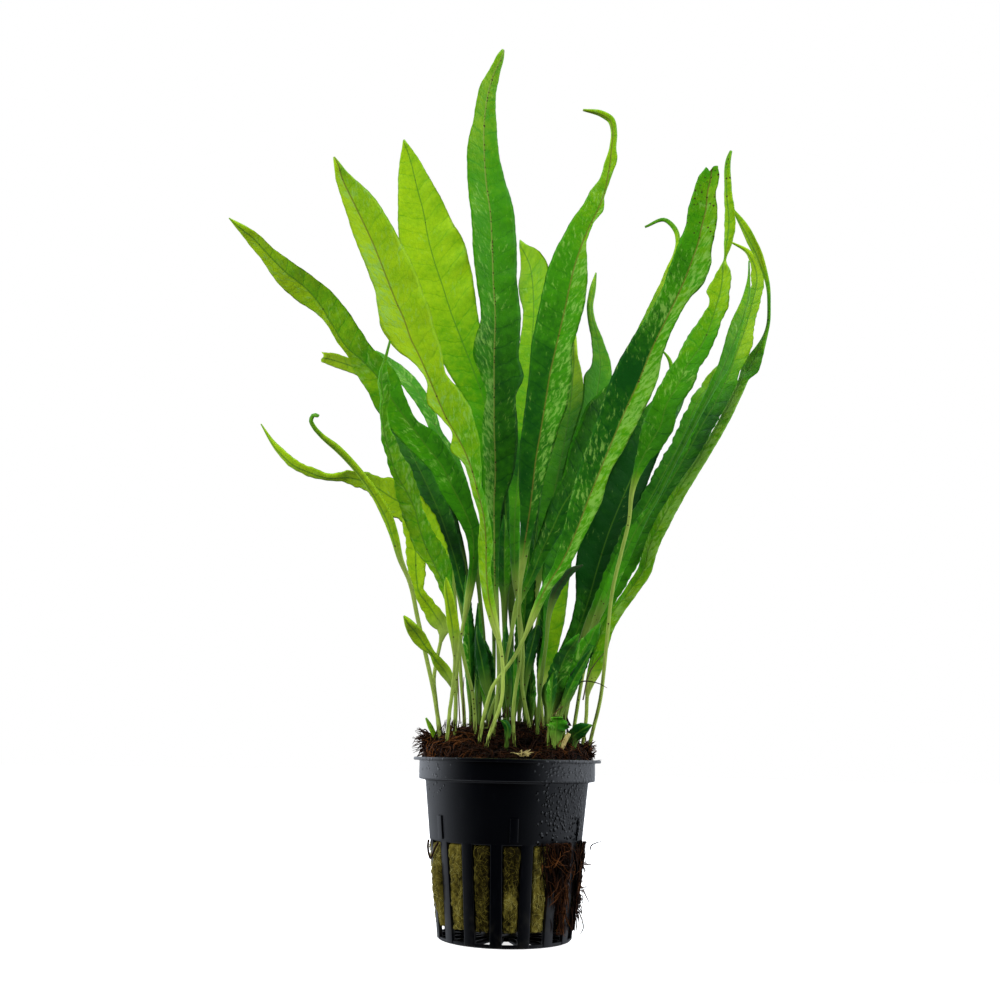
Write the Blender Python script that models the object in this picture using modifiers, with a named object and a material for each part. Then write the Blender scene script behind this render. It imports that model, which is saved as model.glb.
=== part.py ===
"""A narrow-leaved java fern in its net pot, as separate solids: the pot, the rock wool plug, the root
mound with the rhizome in it, the roots that leave the slots, and every frond, sprout and cut stub.

Metres, +Z up. The origin is the middle of the pot's underside, on the surface that it stands on. The
front of the plant faces -Y. Each frond's route is drawn in a front view: a frame of 1000 by 1000
points as an eye in front of the pot sees it, with the depth of every frond given beside it.
"""

import math
from collections import namedtuple

import bmesh
import bpy
from mathutils import Matrix, Vector
from mathutils.bvhtree import BVHTree

MM = 0.001

# Pot
POT_HEIGHT = 49.4 * MM
LIP_RADIUS = 27.5 * MM
LIP_THICKNESS = 0.9 * MM
COLLAR_RADIUS = 25.75 * MM
COLLAR_HEIGHT = 6.1 * MM
SHOULDER_RADIUS = 23.8 * MM
SLOT_TOP_RADIUS = 22.0 * MM
FOOT_RADIUS = 19.1 * MM
WALL = 1.1 * MM
BASE_THICKNESS = 1.2 * MM
SLOT_TOP = 27.3 * MM
RIB_COUNT = 16
RIB_WIDTH = 3.3 * MM
FIRST_RIB = math.radians(-6.0)
BASE_SLOT_INNER = 13.3 * MM
BASE_SLOT_OUTER = 17.5 * MM
BASE_SLOT_WIDTH = 3.4 * MM
NUB_COUNT = 6
FIRST_NUB = math.radians(9.0)
NUB_SIZE = (1.4 * MM, 0.35 * MM, 6.2 * MM)
NUB_MIDDLE = 31.6 * MM
TURN_STEPS = 48

# What fills the pot
GAP = 0.3 * MM
WOOL_BOTTOM = 4.3 * MM
WOOL_TOP = 42.6 * MM
WOOL_BULGE = 0.45 * MM
MOUND_RADIUS = 24.0 * MM
MOUND_BOTTOM = 44.6 * MM
MOUND_EDGE = 51.0 * MM
MOUND_RISE = 8.5 * MM
ROOT_RADIUS = 0.3 * MM

# Fronds
PETIOLE_HALF = 2.6
BLADE_THICKNESS = 0.75 * MM
BLADE_FOLD = 0.22
MARGIN_WAVE = 0.16
LEAN_POWER = 1.5

# The eye that the front view is drawn from. Its focal length is in points of the frame.
EYE = Vector((0.0, -0.320, 0.0497))
FOCAL = 1055.0
FRAME_MIDDLE = 500.0
EYE_PITCH = math.radians(13.7)
EYE_YAW = math.radians(0.67)
EYE_ROLL = math.radians(1.2)

FORWARD = Vector(
    (
        -math.sin(EYE_YAW) * math.cos(EYE_PITCH),
        math.cos(EYE_YAW) * math.cos(EYE_PITCH),
        math.sin(EYE_PITCH),
    )
)
LEVEL_RIGHT = Vector((math.cos(EYE_YAW), math.sin(EYE_YAW), 0.0))
LEVEL_UP = LEVEL_RIGHT.cross(FORWARD)
RIGHT = LEVEL_RIGHT * math.cos(EYE_ROLL) + LEVEL_UP * math.sin(EYE_ROLL)
UP = LEVEL_UP * math.cos(EYE_ROLL) - LEVEL_RIGHT * math.sin(EYE_ROLL)


# A frond's depths are in millimetres behind the pot's axis, at its foot and at its tip. Its turns are
# degrees about its own midrib, at the foot and at the tip. petiole is a list of (column, row), and
# blade one of (column, row, left half width, right half width), both from the foot upwards.
Frond = namedtuple("Frond", "name depths turns tint petiole blade")

FRONDS = [
    Frond(
        "frond_left_front_leaning", (-4, -38), (0, 24), "mid",
        [(455, 718), (456, 693), (458, 655), (463, 626)],
        [(469, 594, 4, 4), (474, 556, 5, 5), (472, 530, 8, 8), (463, 507, 11, 11),
         (452, 486, 13, 16), (442, 466, 12, 14), (426, 445, 15, 16), (410, 424, 18, 8),
         (394, 402, 19, 13), (381, 381, 17, 17), (365, 363, 14, 16), (347, 347, 5, 21),
         (330, 324, 3, 22), (312, 304, 6, 22), (300, 292, 9, 20), (283, 277, 8, 18),
         (266, 258, 4, 13), (249, 237, 3, 10), (229, 218, 0.5, 0.5)],
    ),
    Frond(
        "frond_left_thin_tipped", (-11, -46), (0, 38), "grey",
        [(477, 716), (472, 690), (466, 668), (460, 640)],
        [(453, 612, 4, 4), (445, 588, 5, 8), (435, 565, 6, 16), (427, 549, 11, 15),
         (420, 529, 12, 11), (415, 509, 14, 8), (406, 490, 11, 12), (396, 472, 5, 15),
         (390, 452, 5, 10), (386, 436, 5, 8), (385, 424, 4, 4), (383, 409, 3, 4),
         (385, 397, 5, 5), (383, 384, 5, 7), (383, 372, 3.5, 4.5), (385, 361, 1.5, 1.5),
         (390, 341, 1, 1)],
    ),
    Frond(
        "frond_left_dark_behind", (8, 26), (-15, -40), "dark",
        [(478, 725), (478, 678), (476, 647)],
        [(470, 620, 3, 3), (463, 595, 5, 5), (457, 568, 7, 8), (449, 541, 9, 10),
         (440, 515, 11, 12), (429, 490, 13, 13), (416, 463, 13, 13), (403, 437, 10, 10),
         (392, 412, 6, 6), (384, 395, 0.5, 0.5)],
    ),
    Frond(
        "frond_left_low_reaching", (3, 6), (0, 45), "light",
        [(466, 722), (463, 700), (459, 650), (456, 615)],
        [(452, 585, 3.5, 3.5), (443, 555, 6, 6), (430, 530, 11, 11), (413, 511, 16, 16),
         (388, 495, 16, 17), (376, 487, 10, 11), (363, 481, 8, 9), (351, 478, 7, 8),
         (340, 477, 4.5, 4.5), (329, 477, 3.5, 3.5), (311, 472, 5, 5), (294, 464, 4.5, 4.5),
         (285, 456, 4, 4), (274, 444, 2.2, 2.2), (261, 424, 0.5, 0.5)],
    ),
    Frond(
        "frond_left_hooked_tip", (-7, -44), (30, 50), "mid",
        [(443, 744), (439, 724), (434, 693), (426, 656), (418, 620), (409, 580)],
        [(401, 561, 2.5, 2.5), (394, 535, 4, 4), (388, 518, 5, 5), (381, 504, 4.5, 4.5),
         (372, 489, 3.5, 3.5), (356, 468, 3, 3), (338, 449, 3, 3), (320, 434, 2, 2),
         (314, 427, 1.8, 1.8), (311, 420, 1.7, 1.7), (314, 415, 1.7, 1.7), (318, 416, 1.4, 1.4)],
    ),
    Frond(
        "frond_left_low_light", (-2, -16), (0, 38), "light",
        [(441, 741), (436, 701), (434, 678), (437, 659), (441, 640)],
        [(443, 630, 6, 7), (436, 616, 10, 8), (428, 604, 8, 6), (420, 592, 6, 5),
         (417, 578, 7, 8), (416, 560, 10, 10), (416, 545, 10, 11), (412, 528, 9, 9),
         (406, 512, 4, 4), (402, 503, 0.5, 0.5)],
    ),
    Frond(
        "frond_left_broken", (-10, -26), (0, 30), "light",
        [(455, 722), (456, 705), (455, 692)],
        [(451, 683, 3, 3), (445, 671, 6, 6), (438, 662, 5.5, 5.5), (432, 653, 3, 3),
         (426, 646, 6, 5), (418, 635, 8, 6.5), (411, 625, 6, 4.5), (404, 616, 1, 1)],
    ),
    Frond(
        "frond_left_short_bright", (-14, -30), (0, 35), "light",
        [(447, 721), (450, 708), (453, 685), (455, 662)],
        [(455, 645, 4, 4), (453, 625, 6, 6), (450, 605, 5, 5.5), (448, 590, 4, 3.5),
         (446, 577, 0.5, 0.5)],
    ),
    Frond(
        "frond_left_blunt_behind", (13, 44), (10, 42), "lime",
        [(472, 722), (471, 700), (468, 665), (464, 625)],
        [(459, 590, 3.5, 3.5), (452, 550, 6, 6), (441, 510, 9, 9), (428, 472, 11, 11),
         (414, 440, 11, 11), (399, 412, 10, 10), (380, 386, 8, 8), (358, 369, 6.5, 6.5),
         (340, 362, 7, 7), (321, 357, 5, 5)],
    ),
    Frond(
        "frond_left_slim_behind", (10, 16), (-20, -50), "mid",
        [(490, 722), (489, 700), (486, 670), (483, 630), (479, 590)],
        [(474, 548, 4.5, 4.5), (468, 510, 6, 6), (460, 478, 6, 6), (450, 452, 5.5, 5.5),
         (438, 434, 6, 5), (430, 414, 7, 6), (420, 396, 8, 7), (409, 382, 7.5, 7.5),
         (397, 370, 7, 7), (386, 360, 4, 4), (376, 351, 0.6, 0.6)],
    ),
    Frond(
        "frond_front_pale", (-17, -52), (0, -24), "pale",
        [(484, 744), (493, 725), (501, 703), (503, 678), (501, 650)],
        [(495, 625, 4.5, 4), (489, 600, 5.5, 5.5), (486, 570, 6, 5), (486, 545, 5, 7),
         (483, 515, 4, 6), (477, 491, 5, 6), (470, 465, 5, 12), (462, 446, 12, 19),
         (453, 430, 2, 24), (446, 418, 4, 27), (438, 400, 11, 24), (429, 379, 3, 18),
         (419, 356, 10, 24), (411, 340, 19, 26), (404, 320, 24, 28), (396, 302, 19, 29),
         (388, 282, 15, 30), (373, 244, 15, 26), (354, 204, 10, 21), (342, 179, 6, 10),
         (334, 157, 1, 1)],
    ),
    Frond(
        "frond_broad_lime", (12, 16), (0, 16), "lime",
        [(500, 722), (499, 680), (498, 640), (497, 600)],
        [(495, 560, 4, 4), (493, 520, 6, 6), (491, 480, 9, 9), (489, 440, 13, 13),
         (484, 400, 17, 17), (476, 377, 22, 20), (461, 338, 28, 22), (452, 315, 30, 27),
         (442, 284, 28, 32), (434, 260, 30, 34), (428, 237, 29, 28), (424, 214, 27, 22),
         (417, 187, 20, 15), (411, 162, 13, 8), (404, 140, 1, 1)],
    ),
    Frond(
        "frond_tallest", (-9, -20), (0, -28), "deep",
        [(493, 738), (497, 700), (499, 665), (497, 630)],
        [(495, 600, 3.5, 3.5), (494, 565, 5, 5), (494, 530, 6, 6), (494, 497, 9, 11),
         (495, 479, 10, 17), (495, 460, 12, 21), (494, 430, 12, 24), (494, 396, 8, 22),
         (494, 375, 14, 30), (494, 355, 21, 25), (495, 317, 14, 26), (493, 279, 17, 24),
         (492, 250, 19, 25), (490, 212, 19, 24), (486, 183, 18, 20), (484, 152, 16.5, 15),
         (484, 122, 10.5, 13), (488, 93, 9.5, 8.5), (494, 72, 5, 6.5), (500, 58, 4, 4),
         (503, 50, 1.5, 1.5)],
    ),
    Frond(
        "frond_behind_tallest", (-5, 22), (0, 42), "lime",
        [(533, 745), (529, 724), (525, 705), (522, 685), (523, 660), (522, 635), (519, 610)],
        [(516, 580, 4, 4), (515, 550, 5, 5), (516, 505, 7, 5), (518, 480, 10, 8),
         (521, 450, 14, 14), (525, 415, 16, 16), (529, 380, 17, 17), (532, 345, 13, 17),
         (534, 310, 11, 17), (533, 285, 15, 17), (530, 265, 12, 14), (524, 251, 5, 6),
         (520, 240, 0.5, 0.5)],
    ),
    Frond(
        "frond_whip_tipped", (-13, -30), (0, 28), "deep",
        [(515, 744), (513, 716), (515, 693), (519, 668), (520, 645), (519, 620), (520, 590)],
        [(523, 560, 4, 4), (526, 537, 6, 6), (530, 510, 10, 8), (533, 485, 14, 10),
         (536, 459, 17, 14), (541, 430, 19, 17), (546, 400, 20, 22), (550, 375, 21, 22),
         (556, 348, 25, 16), (566, 305, 26, 18), (571, 281, 26, 16), (577, 259, 24, 10),
         (584, 240, 21, 3), (591, 224, 19, 2), (598, 210, 16, 5), (604, 195, 15, 1),
         (608, 180, 9, 2), (611, 161, 6, 6), (613, 146, 3.3, 3.3), (614, 132, 3, 3),
         (611, 120, 3.5, 3.5), (602, 114, 3, 3), (583, 110, 1, 1)],
    ),
    Frond(
        "frond_behind_whip_tipped", (9, 48), (0, 40), "lime",
        [(528, 722), (528, 690), (529, 660), (532, 620)],
        [(537, 580, 5, 5), (544, 545, 8, 8), (551, 510, 12, 12), (558, 475, 15, 15),
         (565, 440, 16, 16), (570, 410, 14, 14), (573, 380, 9, 9), (575, 350, 5, 2),
         (574, 318, 0.5, 0.5)],
    ),
    Frond(
        "frond_centre_spear", (6, 34), (0, -38), "mid",
        [(538, 722), (535, 708), (533, 693), (532, 670), (534, 642), (540, 612)],
        [(547, 580, 4, 4), (556, 545, 6, 6), (566, 505, 9, 9), (576, 468, 12, 12),
         (586, 435, 13, 13), (594, 408, 13, 13), (598, 385, 15, 14), (600, 368, 8.5, 12),
         (597, 340, 5.5, 6), (591, 318, 3.3, 3.5), (590, 305, 3, 3), (592, 293, 3, 3),
         (596, 273, 0.7, 0.7)],
    ),
    Frond(
        "frond_right_torn_tip", (-14, -46), (0, 20), "deep",
        [(478, 728), (487, 704), (493, 686), (502, 674), (513, 659), (524, 638)],
        [(533, 616, 3.5, 4), (545, 590, 4.5, 5), (561, 564, 7, 8), (578, 527, 14, 10),
         (589, 498, 18, 13), (600, 471, 21, 10), (612, 442, 22, 14), (623, 416, 24, 16),
         (639, 381, 27, 17), (652, 349, 23, 12), (666, 320, 18, 10), (678, 295, 17, 12),
         (686, 277, 19, 19), (692, 261, 19, 19), (698, 244, 19, 14), (702, 226, 16, 14),
         (706, 210, 18, 11), (708, 191, 14, 8), (711, 178, 13, 8), (712, 168, 4, 5)],
    ),
    Frond(
        "frond_behind_torn_tip", (-6, -22), (0, -34), "deep",
        [(483, 730), (493, 705), (501, 685), (506, 660), (511, 635)],
        [(518, 603, 3.5, 3.5), (530, 578, 5, 5), (543, 548, 8, 8), (553, 527, 11, 10),
         (562, 507, 13, 12), (580, 480, 18, 12), (592, 458, 25, 12), (600, 442, 26, 10),
         (609, 420, 26, 9), (617, 400, 18, 8), (624, 384, 10, 4), (630, 372, 1, 1)],
    ),
    Frond(
        "frond_right_pinched", (-2, -22), (0, 35), "mid",
        [(588, 748), (594, 726), (600, 701), (604, 670), (607, 640), (613, 588), (622, 550),
         (629, 521)],
        [(632, 492, 2.6, 2.6), (641, 462, 6, 7), (650, 444, 12, 12), (660, 427, 18, 13),
         (667, 404, 15, 11), (679, 383, 16, 14), (688, 364, 13, 12), (702, 345, 17, 10),
         (711, 324, 13, 9), (717, 305, 8, 11), (721, 291, 14, 8.5), (723, 275, 8, 8),
         (725, 259, 1.2, 1.2), (728, 244, 3.8, 3.8), (730, 224, 5.5, 5.5), (728, 189, 3.5, 3.5),
         (729, 157, 2, 2), (731, 151, 1.2, 1.2)],
    ),
    Frond(
        "frond_right_whip_loop", (1, -8), (0, 45), "pale",
        [(580, 751), (586, 720), (587, 698)],
        [(588, 684, 2.6, 6), (591, 668, 3, 11), (595, 650, 3, 12), (604, 627, 3, 10),
         (630, 590, 5, 8), (643, 571, 6, 8), (650, 545, 5, 9), (658, 528, 6, 9),
         (677, 494, 5, 8), (700, 458, 3, 7), (721, 422, 3, 7), (738, 389, 3, 6),
         (743, 378, 4, 6), (749, 369, 7, 9),
         (755, 358, 7, 7), (759, 350, 5, 5), (764, 339, 2.5, 2.5), (768, 325, 1.6, 1.6),
         (769, 305, 1.5, 1.5), (768, 286, 1.8, 1.8), (764, 270, 2.5, 2.5), (758, 254, 4, 4),
         (751, 240, 4.5, 4.5), (745, 228, 3.5, 3.5), (732, 208, 0.7, 0.7)],
    ),
    Frond(
        "frond_right_yellow_green", (9, 30), (0, 34), "lime",
        [(570, 748), (576, 715), (580, 690), (585, 665)],
        [(593, 640, 3, 3), (604, 612, 5, 5), (617, 585, 8, 8), (630, 558, 10, 10),
         (643, 530, 12, 12), (658, 503, 13, 13), (674, 476, 15, 14), (690, 448, 16, 13),
         (704, 422, 14, 11), (716, 402, 11, 11), (724, 386, 8, 11), (730, 372, 7, 9),
         (735, 358, 9, 12), (741, 342, 10, 11), (747, 324, 9, 7), (752, 306, 4, 7),
         (757, 275, 6, 6), (754, 262, 4, 5), (749, 253, 2.5, 2.5), (731, 242, 0.7, 0.7)],
    ),
    Frond(
        "frond_right_slim", (-2, 4), (0, -45), "mid",
        [(560, 747), (566, 715), (571, 690), (577, 668), (586, 645)],
        [(598, 615, 4, 4), (611, 585, 6, 6), (624, 555, 7, 7), (637, 528, 6, 6),
         (652, 505, 3, 3), (679, 452, 2.5, 2.5), (698, 415, 3, 3), (713, 386, 4, 4),
         (725, 362, 6, 6), (731, 348, 8, 5), (737, 332, 9, 4), (742, 316, 7, 3),
         (746, 300, 4, 3), (749, 275, 1, 1), (749, 261, 0.6, 0.6)],
    ),
    Frond(
        "frond_right_lobed", (4, 14), (0, 35), "deep",
        [(552, 746), (558, 712), (566, 685), (576, 655)],
        [(588, 625, 4, 4), (602, 595, 6, 6), (616, 565, 8, 8), (630, 535, 9, 9),
         (655, 490, 9, 9), (668, 466, 9, 9), (680, 443, 8, 9), (688, 424, 8, 9),
         (695, 408, 7, 7), (701, 396, 7, 4), (708, 388, 7, 6), (711, 380, 6, 7),
         (718, 366, 0.7, 0.7)],
    ),
    Frond(
        "frond_right_curled_tip", (1, 16), (0, -34), "mid",
        [(544, 725), (541, 705), (539, 690)],
        [(540, 678, 3, 9), (542, 660, 3, 13), (546, 640, 4, 14), (549, 610, 6, 17),
         (554, 575, 12, 16), (562, 540, 14, 14),
         (574, 505, 13, 13), (588, 470, 13, 13), (603, 435, 13, 13), (618, 400, 12, 12),
         (633, 365, 11, 11), (647, 333, 10, 10), (658, 308, 9, 9), (666, 285, 6, 7),
         (671, 270, 5, 5), (676, 255, 3, 3), (678, 241, 2.2, 2.2), (676, 231, 2.2, 2.2),
         (665, 220, 1.8, 1.8), (645, 227, 1, 1)],
    ),
    Frond(
        "frond_right_dark_behind", (13, 36), (0, 30), "dark",
        [(549, 722), (552, 700)],
        [(558, 675, 6, 6), (566, 655, 8, 7), (577, 632, 9, 9), (588, 602, 13, 13),
         (597, 570, 22, 16), (608, 535, 26, 18), (622, 500, 22, 17), (635, 470, 24, 16),
         (648, 440, 22, 14), (660, 412, 16, 10), (668, 390, 5, 6), (672, 372, 2.5, 2.5),
         (669, 359, 1.6, 1.6), (662, 350, 0.6, 0.6)],
    ),
    Frond(
        "frond_back_centre", (12, 62), (0, 40), "dark",
        [(512, 722), (512, 680), (512, 640)],
        [(510, 580, 6, 6), (507, 530, 11, 11), (503, 470, 16, 16), (500, 400, 17, 17),
         (498, 320, 15, 15), (495, 250, 11, 11), (491, 205, 6, 6), (490, 185, 0.8, 0.8)],
    ),
    Frond(
        "frond_back_left", (18, 34), (0, -48), "dark",
        [(493, 715), (494, 650), (493, 600)],
        [(491, 550, 6, 6), (488, 500, 12, 12), (484, 450, 15, 15), (474, 400, 15, 15),
         (461, 340, 13, 13), (445, 280, 10, 10), (432, 235, 6, 6), (424, 210, 0.8, 0.8)],
    ),
    Frond(
        "frond_back_right", (14, 68), (0, -35), "dark",
        [(526, 720), (525, 670), (527, 620)],
        [(531, 570, 8, 8), (538, 520, 14, 14), (545, 460, 16, 16), (552, 400, 15, 15),
         (562, 345, 12, 12), (573, 295, 8, 8), (583, 250, 0.8, 0.8)],
    ),
    Frond(
        "frond_back_far_right", (17, 48), (0, 46), "dark",
        [(543, 720), (541, 680), (545, 630)],
        [(553, 580, 7, 7), (567, 530, 12, 12), (585, 480, 15, 15), (606, 430, 17, 17),
         (628, 380, 15, 15), (650, 330, 12, 12), (672, 280, 8, 8), (688, 235, 0.8, 0.8)],
    ),
    Frond(
        "frond_back_right_low", (12, 62), (0, -45), "dark",
        [(560, 725), (566, 690), (575, 650)],
        [(588, 600, 8, 8), (608, 545, 13, 13), (628, 490, 15, 15), (650, 440, 14, 14),
         (672, 400, 12, 12), (690, 360, 7, 7), (706, 325, 0.8, 0.8)],
    ),
    Frond(
        "frond_back_far_left", (17, 58), (0, 38), "dark",
        [(478, 710), (475, 660), (470, 610)],
        [(460, 560, 7, 7), (445, 515, 11, 11), (425, 470, 13, 13), (405, 430, 14, 14),
         (385, 395, 11, 11), (365, 362, 7, 7), (350, 338, 0.8, 0.8)],
    ),
    Frond(
        "young_frond_right", (-8, -16), (0, 35), "deep",
        [(563, 722), (565, 708)],
        [(567, 700, 4, 4), (574, 676, 8, 8), (583, 653, 9, 9), (593, 636, 6, 6),
         (600, 623, 0.6, 0.6)],
    ),
    Frond(
        "young_frond_right_low", (-12, -22), (0, -35), "deep",
        [(556, 726), (554, 716)],
        [(553, 707, 6, 6), (556, 684, 10, 10), (563, 662, 10, 9), (571, 646, 6, 6),
         (579, 634, 0.6, 0.6)],
    ),
    Frond(
        "young_frond_centre", (-1, 3), (0, 40), "dark",
        [(487, 726), (489, 703)],
        [(486, 682, 6, 6), (482, 660, 6.5, 6.5), (479, 641, 4, 4), (477, 626, 0.6, 0.6)],
    ),
    Frond(
        "young_frond_middle", (0, 6), (0, 30), "dark",
        [(527, 730), (524, 700)],
        [(527, 672, 4, 4), (531, 652, 6, 6), (535, 636, 6, 6), (538, 626, 2, 2)],
    ),
    Frond(
        "young_frond_dark_middle", (-4, -2), (0, 30), "dark",
        [(508, 726), (508, 706)],
        [(508, 692, 4, 4), (507, 670, 4, 4.5), (505, 650, 3, 3), (504, 632, 0.6, 0.6)],
    ),
    Frond(
        "frond_wilted", (-9, -5), (0, 20), "wilted",
        [(537, 728), (540, 690), (546, 645)],
        [(550, 610, 3, 3), (555, 594, 4.5, 4.5), (563, 581, 5, 4), (572, 571, 4, 3),
         (583, 565, 0.8, 0.8)],
    ),
    Frond(
        "sprout_left", (-5, -7), (0, 0), "light",
        [(437, 748)],
        [(436, 740, 2.4, 2.4), (431, 728, 2.6, 2.6), (426, 718, 1, 1)],
    ),
    Frond(
        "sprout_left_small", (0, 0), (0, 0), "light",
        [(431, 753)],
        [(431, 742, 2.4, 2.4), (431, 736, 1, 1)],
    ),
    Frond(
        "leaflet_middle", (-16, -18), (0, 0), "dark",
        [(506, 738)],
        [(508, 731, 3.5, 3.5), (506, 724, 3.5, 3.5), (501, 720, 0.8, 0.8)],
    ),
    Frond(
        "leaflet_crumpled", (-16, -17), (0, 0), "mid",
        [(556, 740)],
        [(556, 731, 7, 8), (557, 724, 9, 11), (557, 717, 5, 6)],
    ),
    Frond(
        "leaflet_pointed", (-11, -13), (0, 0), "dark",
        [(570, 745)],
        [(573, 737, 6, 7), (580, 731, 8, 7), (587, 727, 4, 4), (592, 725, 0.6, 0.6)],
    ),
]

# Cut stubs of old petioles: where the foot stands and where the top points, in the same frame
CutStub = namedtuple("CutStub", "name column row depth top_column top_row radius length")
CUT_STUBS = [
    CutStub("cut_stub_tall", 553, 722, -5, 556, 697, 0.65 * MM, 7.0 * MM),
    CutStub("cut_stub_front", 562, 751, -16, 567, 737, 0.75 * MM, 4.2 * MM),
]

# Single roots that stand clear of the pot, as (column, row, depth in millimetres)
STRAY_ROOTS = {
    "root_stray_high": [(590, 850, -3), (591, 846, -3), (596, 843, -4), (603, 841, -5)],
    "root_stray_middle": [(583, 891, -12), (586, 896, -12), (588, 900, -12), (591, 906, -12)],
    "root_stray_low": [(579, 912, -12), (582, 920, -12), (583, 929, -11), (579, 936, -11)],
    "root_over_lip": [(578, 683, -7), (586, 681, -9), (593, 682, -10), (600, 684, -11),
                      (607, 688, -12)],
}

# Tufts of the root mat beside the mound: angle, and the radii outwards, sideways and up
TUFTS = {
    "root_tuft_left": (math.radians(-88), (2.0 * MM, 5.0 * MM, 3.8 * MM)),
    "root_tuft_right": (math.radians(84), (1.0 * MM, 3.6 * MM, 2.6 * MM)),
}

TINTS = {
    "light": (0.26, 0.52, 0.05),
    "lime": (0.30, 0.58, 0.03),
    "pale": (0.24, 0.50, 0.10),
    "mid": (0.12, 0.38, 0.03),
    "grey": (0.16, 0.36, 0.10),
    "deep": (0.05, 0.26, 0.02),
    "dark": (0.02, 0.14, 0.02),
    "wilted": (0.05, 0.07, 0.02),
}


def seen_at(column, row, depth):
    """The point that the eye sees at this place of the frame, this far behind the pot's axis."""
    across = (column - FRAME_MIDDLE) / FOCAL
    upward = (FRAME_MIDDLE - row) / FOCAL
    ray = FORWARD + RIGHT * across + UP * upward
    return EYE + ray * ((depth - EYE.y) / ray.y)


def point_size(place):
    """How large one point of the frame is at this place."""
    return (place - EYE).dot(FORWARD) / FOCAL


def around(angle, radius, height):
    """A place at this angle from the front, turning towards +X."""
    return Vector((radius * math.sin(angle), -radius * math.cos(angle), height))


def wall_radius(height):
    """The outer radius of the tapered wall at this height."""
    if height > SLOT_TOP:
        share = (height - SLOT_TOP) / (POT_HEIGHT - COLLAR_HEIGHT - SLOT_TOP)
        return SLOT_TOP_RADIUS + (SHOULDER_RADIUS - SLOT_TOP_RADIUS) * share
    share = (height - BASE_THICKNESS) / (SLOT_TOP - BASE_THICKNESS)
    return FOOT_RADIUS + (SLOT_TOP_RADIUS - FOOT_RADIUS) * share


def slot_half_angle(height, clearance=0.0):
    """Half the angle that a slot takes up at this height, less a clearance on each side."""
    radius = wall_radius(height)
    return math.pi / RIB_COUNT - (RIB_WIDTH / 2 + clearance) / radius


def clear_scene():
    for item in list(bpy.data.objects):
        bpy.data.objects.remove(item, do_unlink=True)


def make_collection(name):
    collection = bpy.data.collections.new(name)
    bpy.context.scene.collection.children.link(collection)
    return collection


def make_material(name, colour, roughness, metallic=0.0):
    material = bpy.data.materials.new(name)
    material.use_nodes = True
    shader = material.node_tree.nodes["Principled BSDF"]
    shader.inputs["Base Color"].default_value = (*colour, 1.0)
    shader.inputs["Roughness"].default_value = roughness
    shader.inputs["Metallic"].default_value = metallic
    return material


def add_object(name, mesh, collection, material=None):
    item = bpy.data.objects.new(name, mesh)
    collection.objects.link(item)
    if material:
        mesh.materials.append(material)
    return item


def add_from_bmesh(name, shape, collection, material=None, smooth_angle=None):
    mesh = bpy.data.meshes.new(name)
    shape.to_mesh(mesh)
    shape.free()
    if smooth_angle:
        mesh.shade_smooth()
        mesh.set_sharp_from_angle(angle=math.radians(smooth_angle))
    return add_object(name, mesh, collection, material)


def loft(sections):
    """A closed shape through rings of as many points each, anticlockwise from the last ring."""
    shape = bmesh.new()
    rings = [[shape.verts.new(place) for place in ring] for ring in sections]
    count = len(rings[0])
    for lower, upper in zip(rings, rings[1:]):
        for i in range(count):
            j = (i + 1) % count
            shape.faces.new((lower[i], lower[j], upper[j], upper[i]))
    shape.faces.new(list(reversed(rings[0])))
    shape.faces.new(rings[-1])
    return shape


def blade_skin(sections):
    """A loft of four-cornered sections: left margin, front midrib, right margin, rear midrib.

    Front and rear are split along the same diagonals, from margin to midrib, so that the two walls of a
    thin and twisted blade never cross.
    """
    shape = bmesh.new()
    rings = [[shape.verts.new(place) for place in ring] for ring in sections]
    for (a, b, c, d), (e, f, g, h) in zip(rings, rings[1:]):
        for corners in (
            (a, b, f), (a, f, e),
            (b, c, f), (c, g, f),
            (c, d, h), (c, h, g),
            (d, a, h), (a, e, h),
        ):
            shape.faces.new(corners)
    shape.faces.new(list(reversed(rings[0])))
    shape.faces.new(rings[-1])
    return shape


def hide_cutter(item):
    item.hide_render = True
    item.display_type = "WIRE"


def add_boolean(item, cutter, operation):
    modifier = item.modifiers.new(cutter.name, "BOOLEAN")
    modifier.operation = operation
    modifier.object = cutter
    modifier.solver = "EXACT"


def slot_cutters(collection):
    """Sixteen tapering slots through the wall, and the sixteen short ones that go on in the base."""
    shape = bmesh.new()
    low, high = BASE_THICKNESS + 0.15 * MM, SLOT_TOP
    for i in range(RIB_COUNT):
        middle = FIRST_RIB + (i + 0.5) * 2 * math.pi / RIB_COUNT
        corners = []
        for height in (low, high):
            half = slot_half_angle(height)
            for side in (-half, half):
                for radius in (wall_radius(height) - 2.2 * MM, wall_radius(height) + 3.0 * MM):
                    corners.append(shape.verts.new(around(middle + side, radius, height)))
        bmesh.ops.convex_hull(shape, input=corners)
        outward = around(middle, 1.0, 0.0)
        aside = Vector((outward.y, -outward.x, 0.0)) * (BASE_SLOT_WIDTH / 2)
        corners = []
        for height in (-1.0 * MM, BASE_THICKNESS + 0.1 * MM):
            for radius in (BASE_SLOT_INNER, BASE_SLOT_OUTER):
                for side in (-1, 1):
                    place = outward * radius + aside * side
                    corners.append(shape.verts.new((place.x, place.y, height)))
        bmesh.ops.convex_hull(shape, input=corners)
    bmesh.ops.recalc_face_normals(shape, faces=shape.faces)
    cutter = add_from_bmesh("slot_cutters", shape, collection)
    hide_cutter(cutter)
    return cutter


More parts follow.
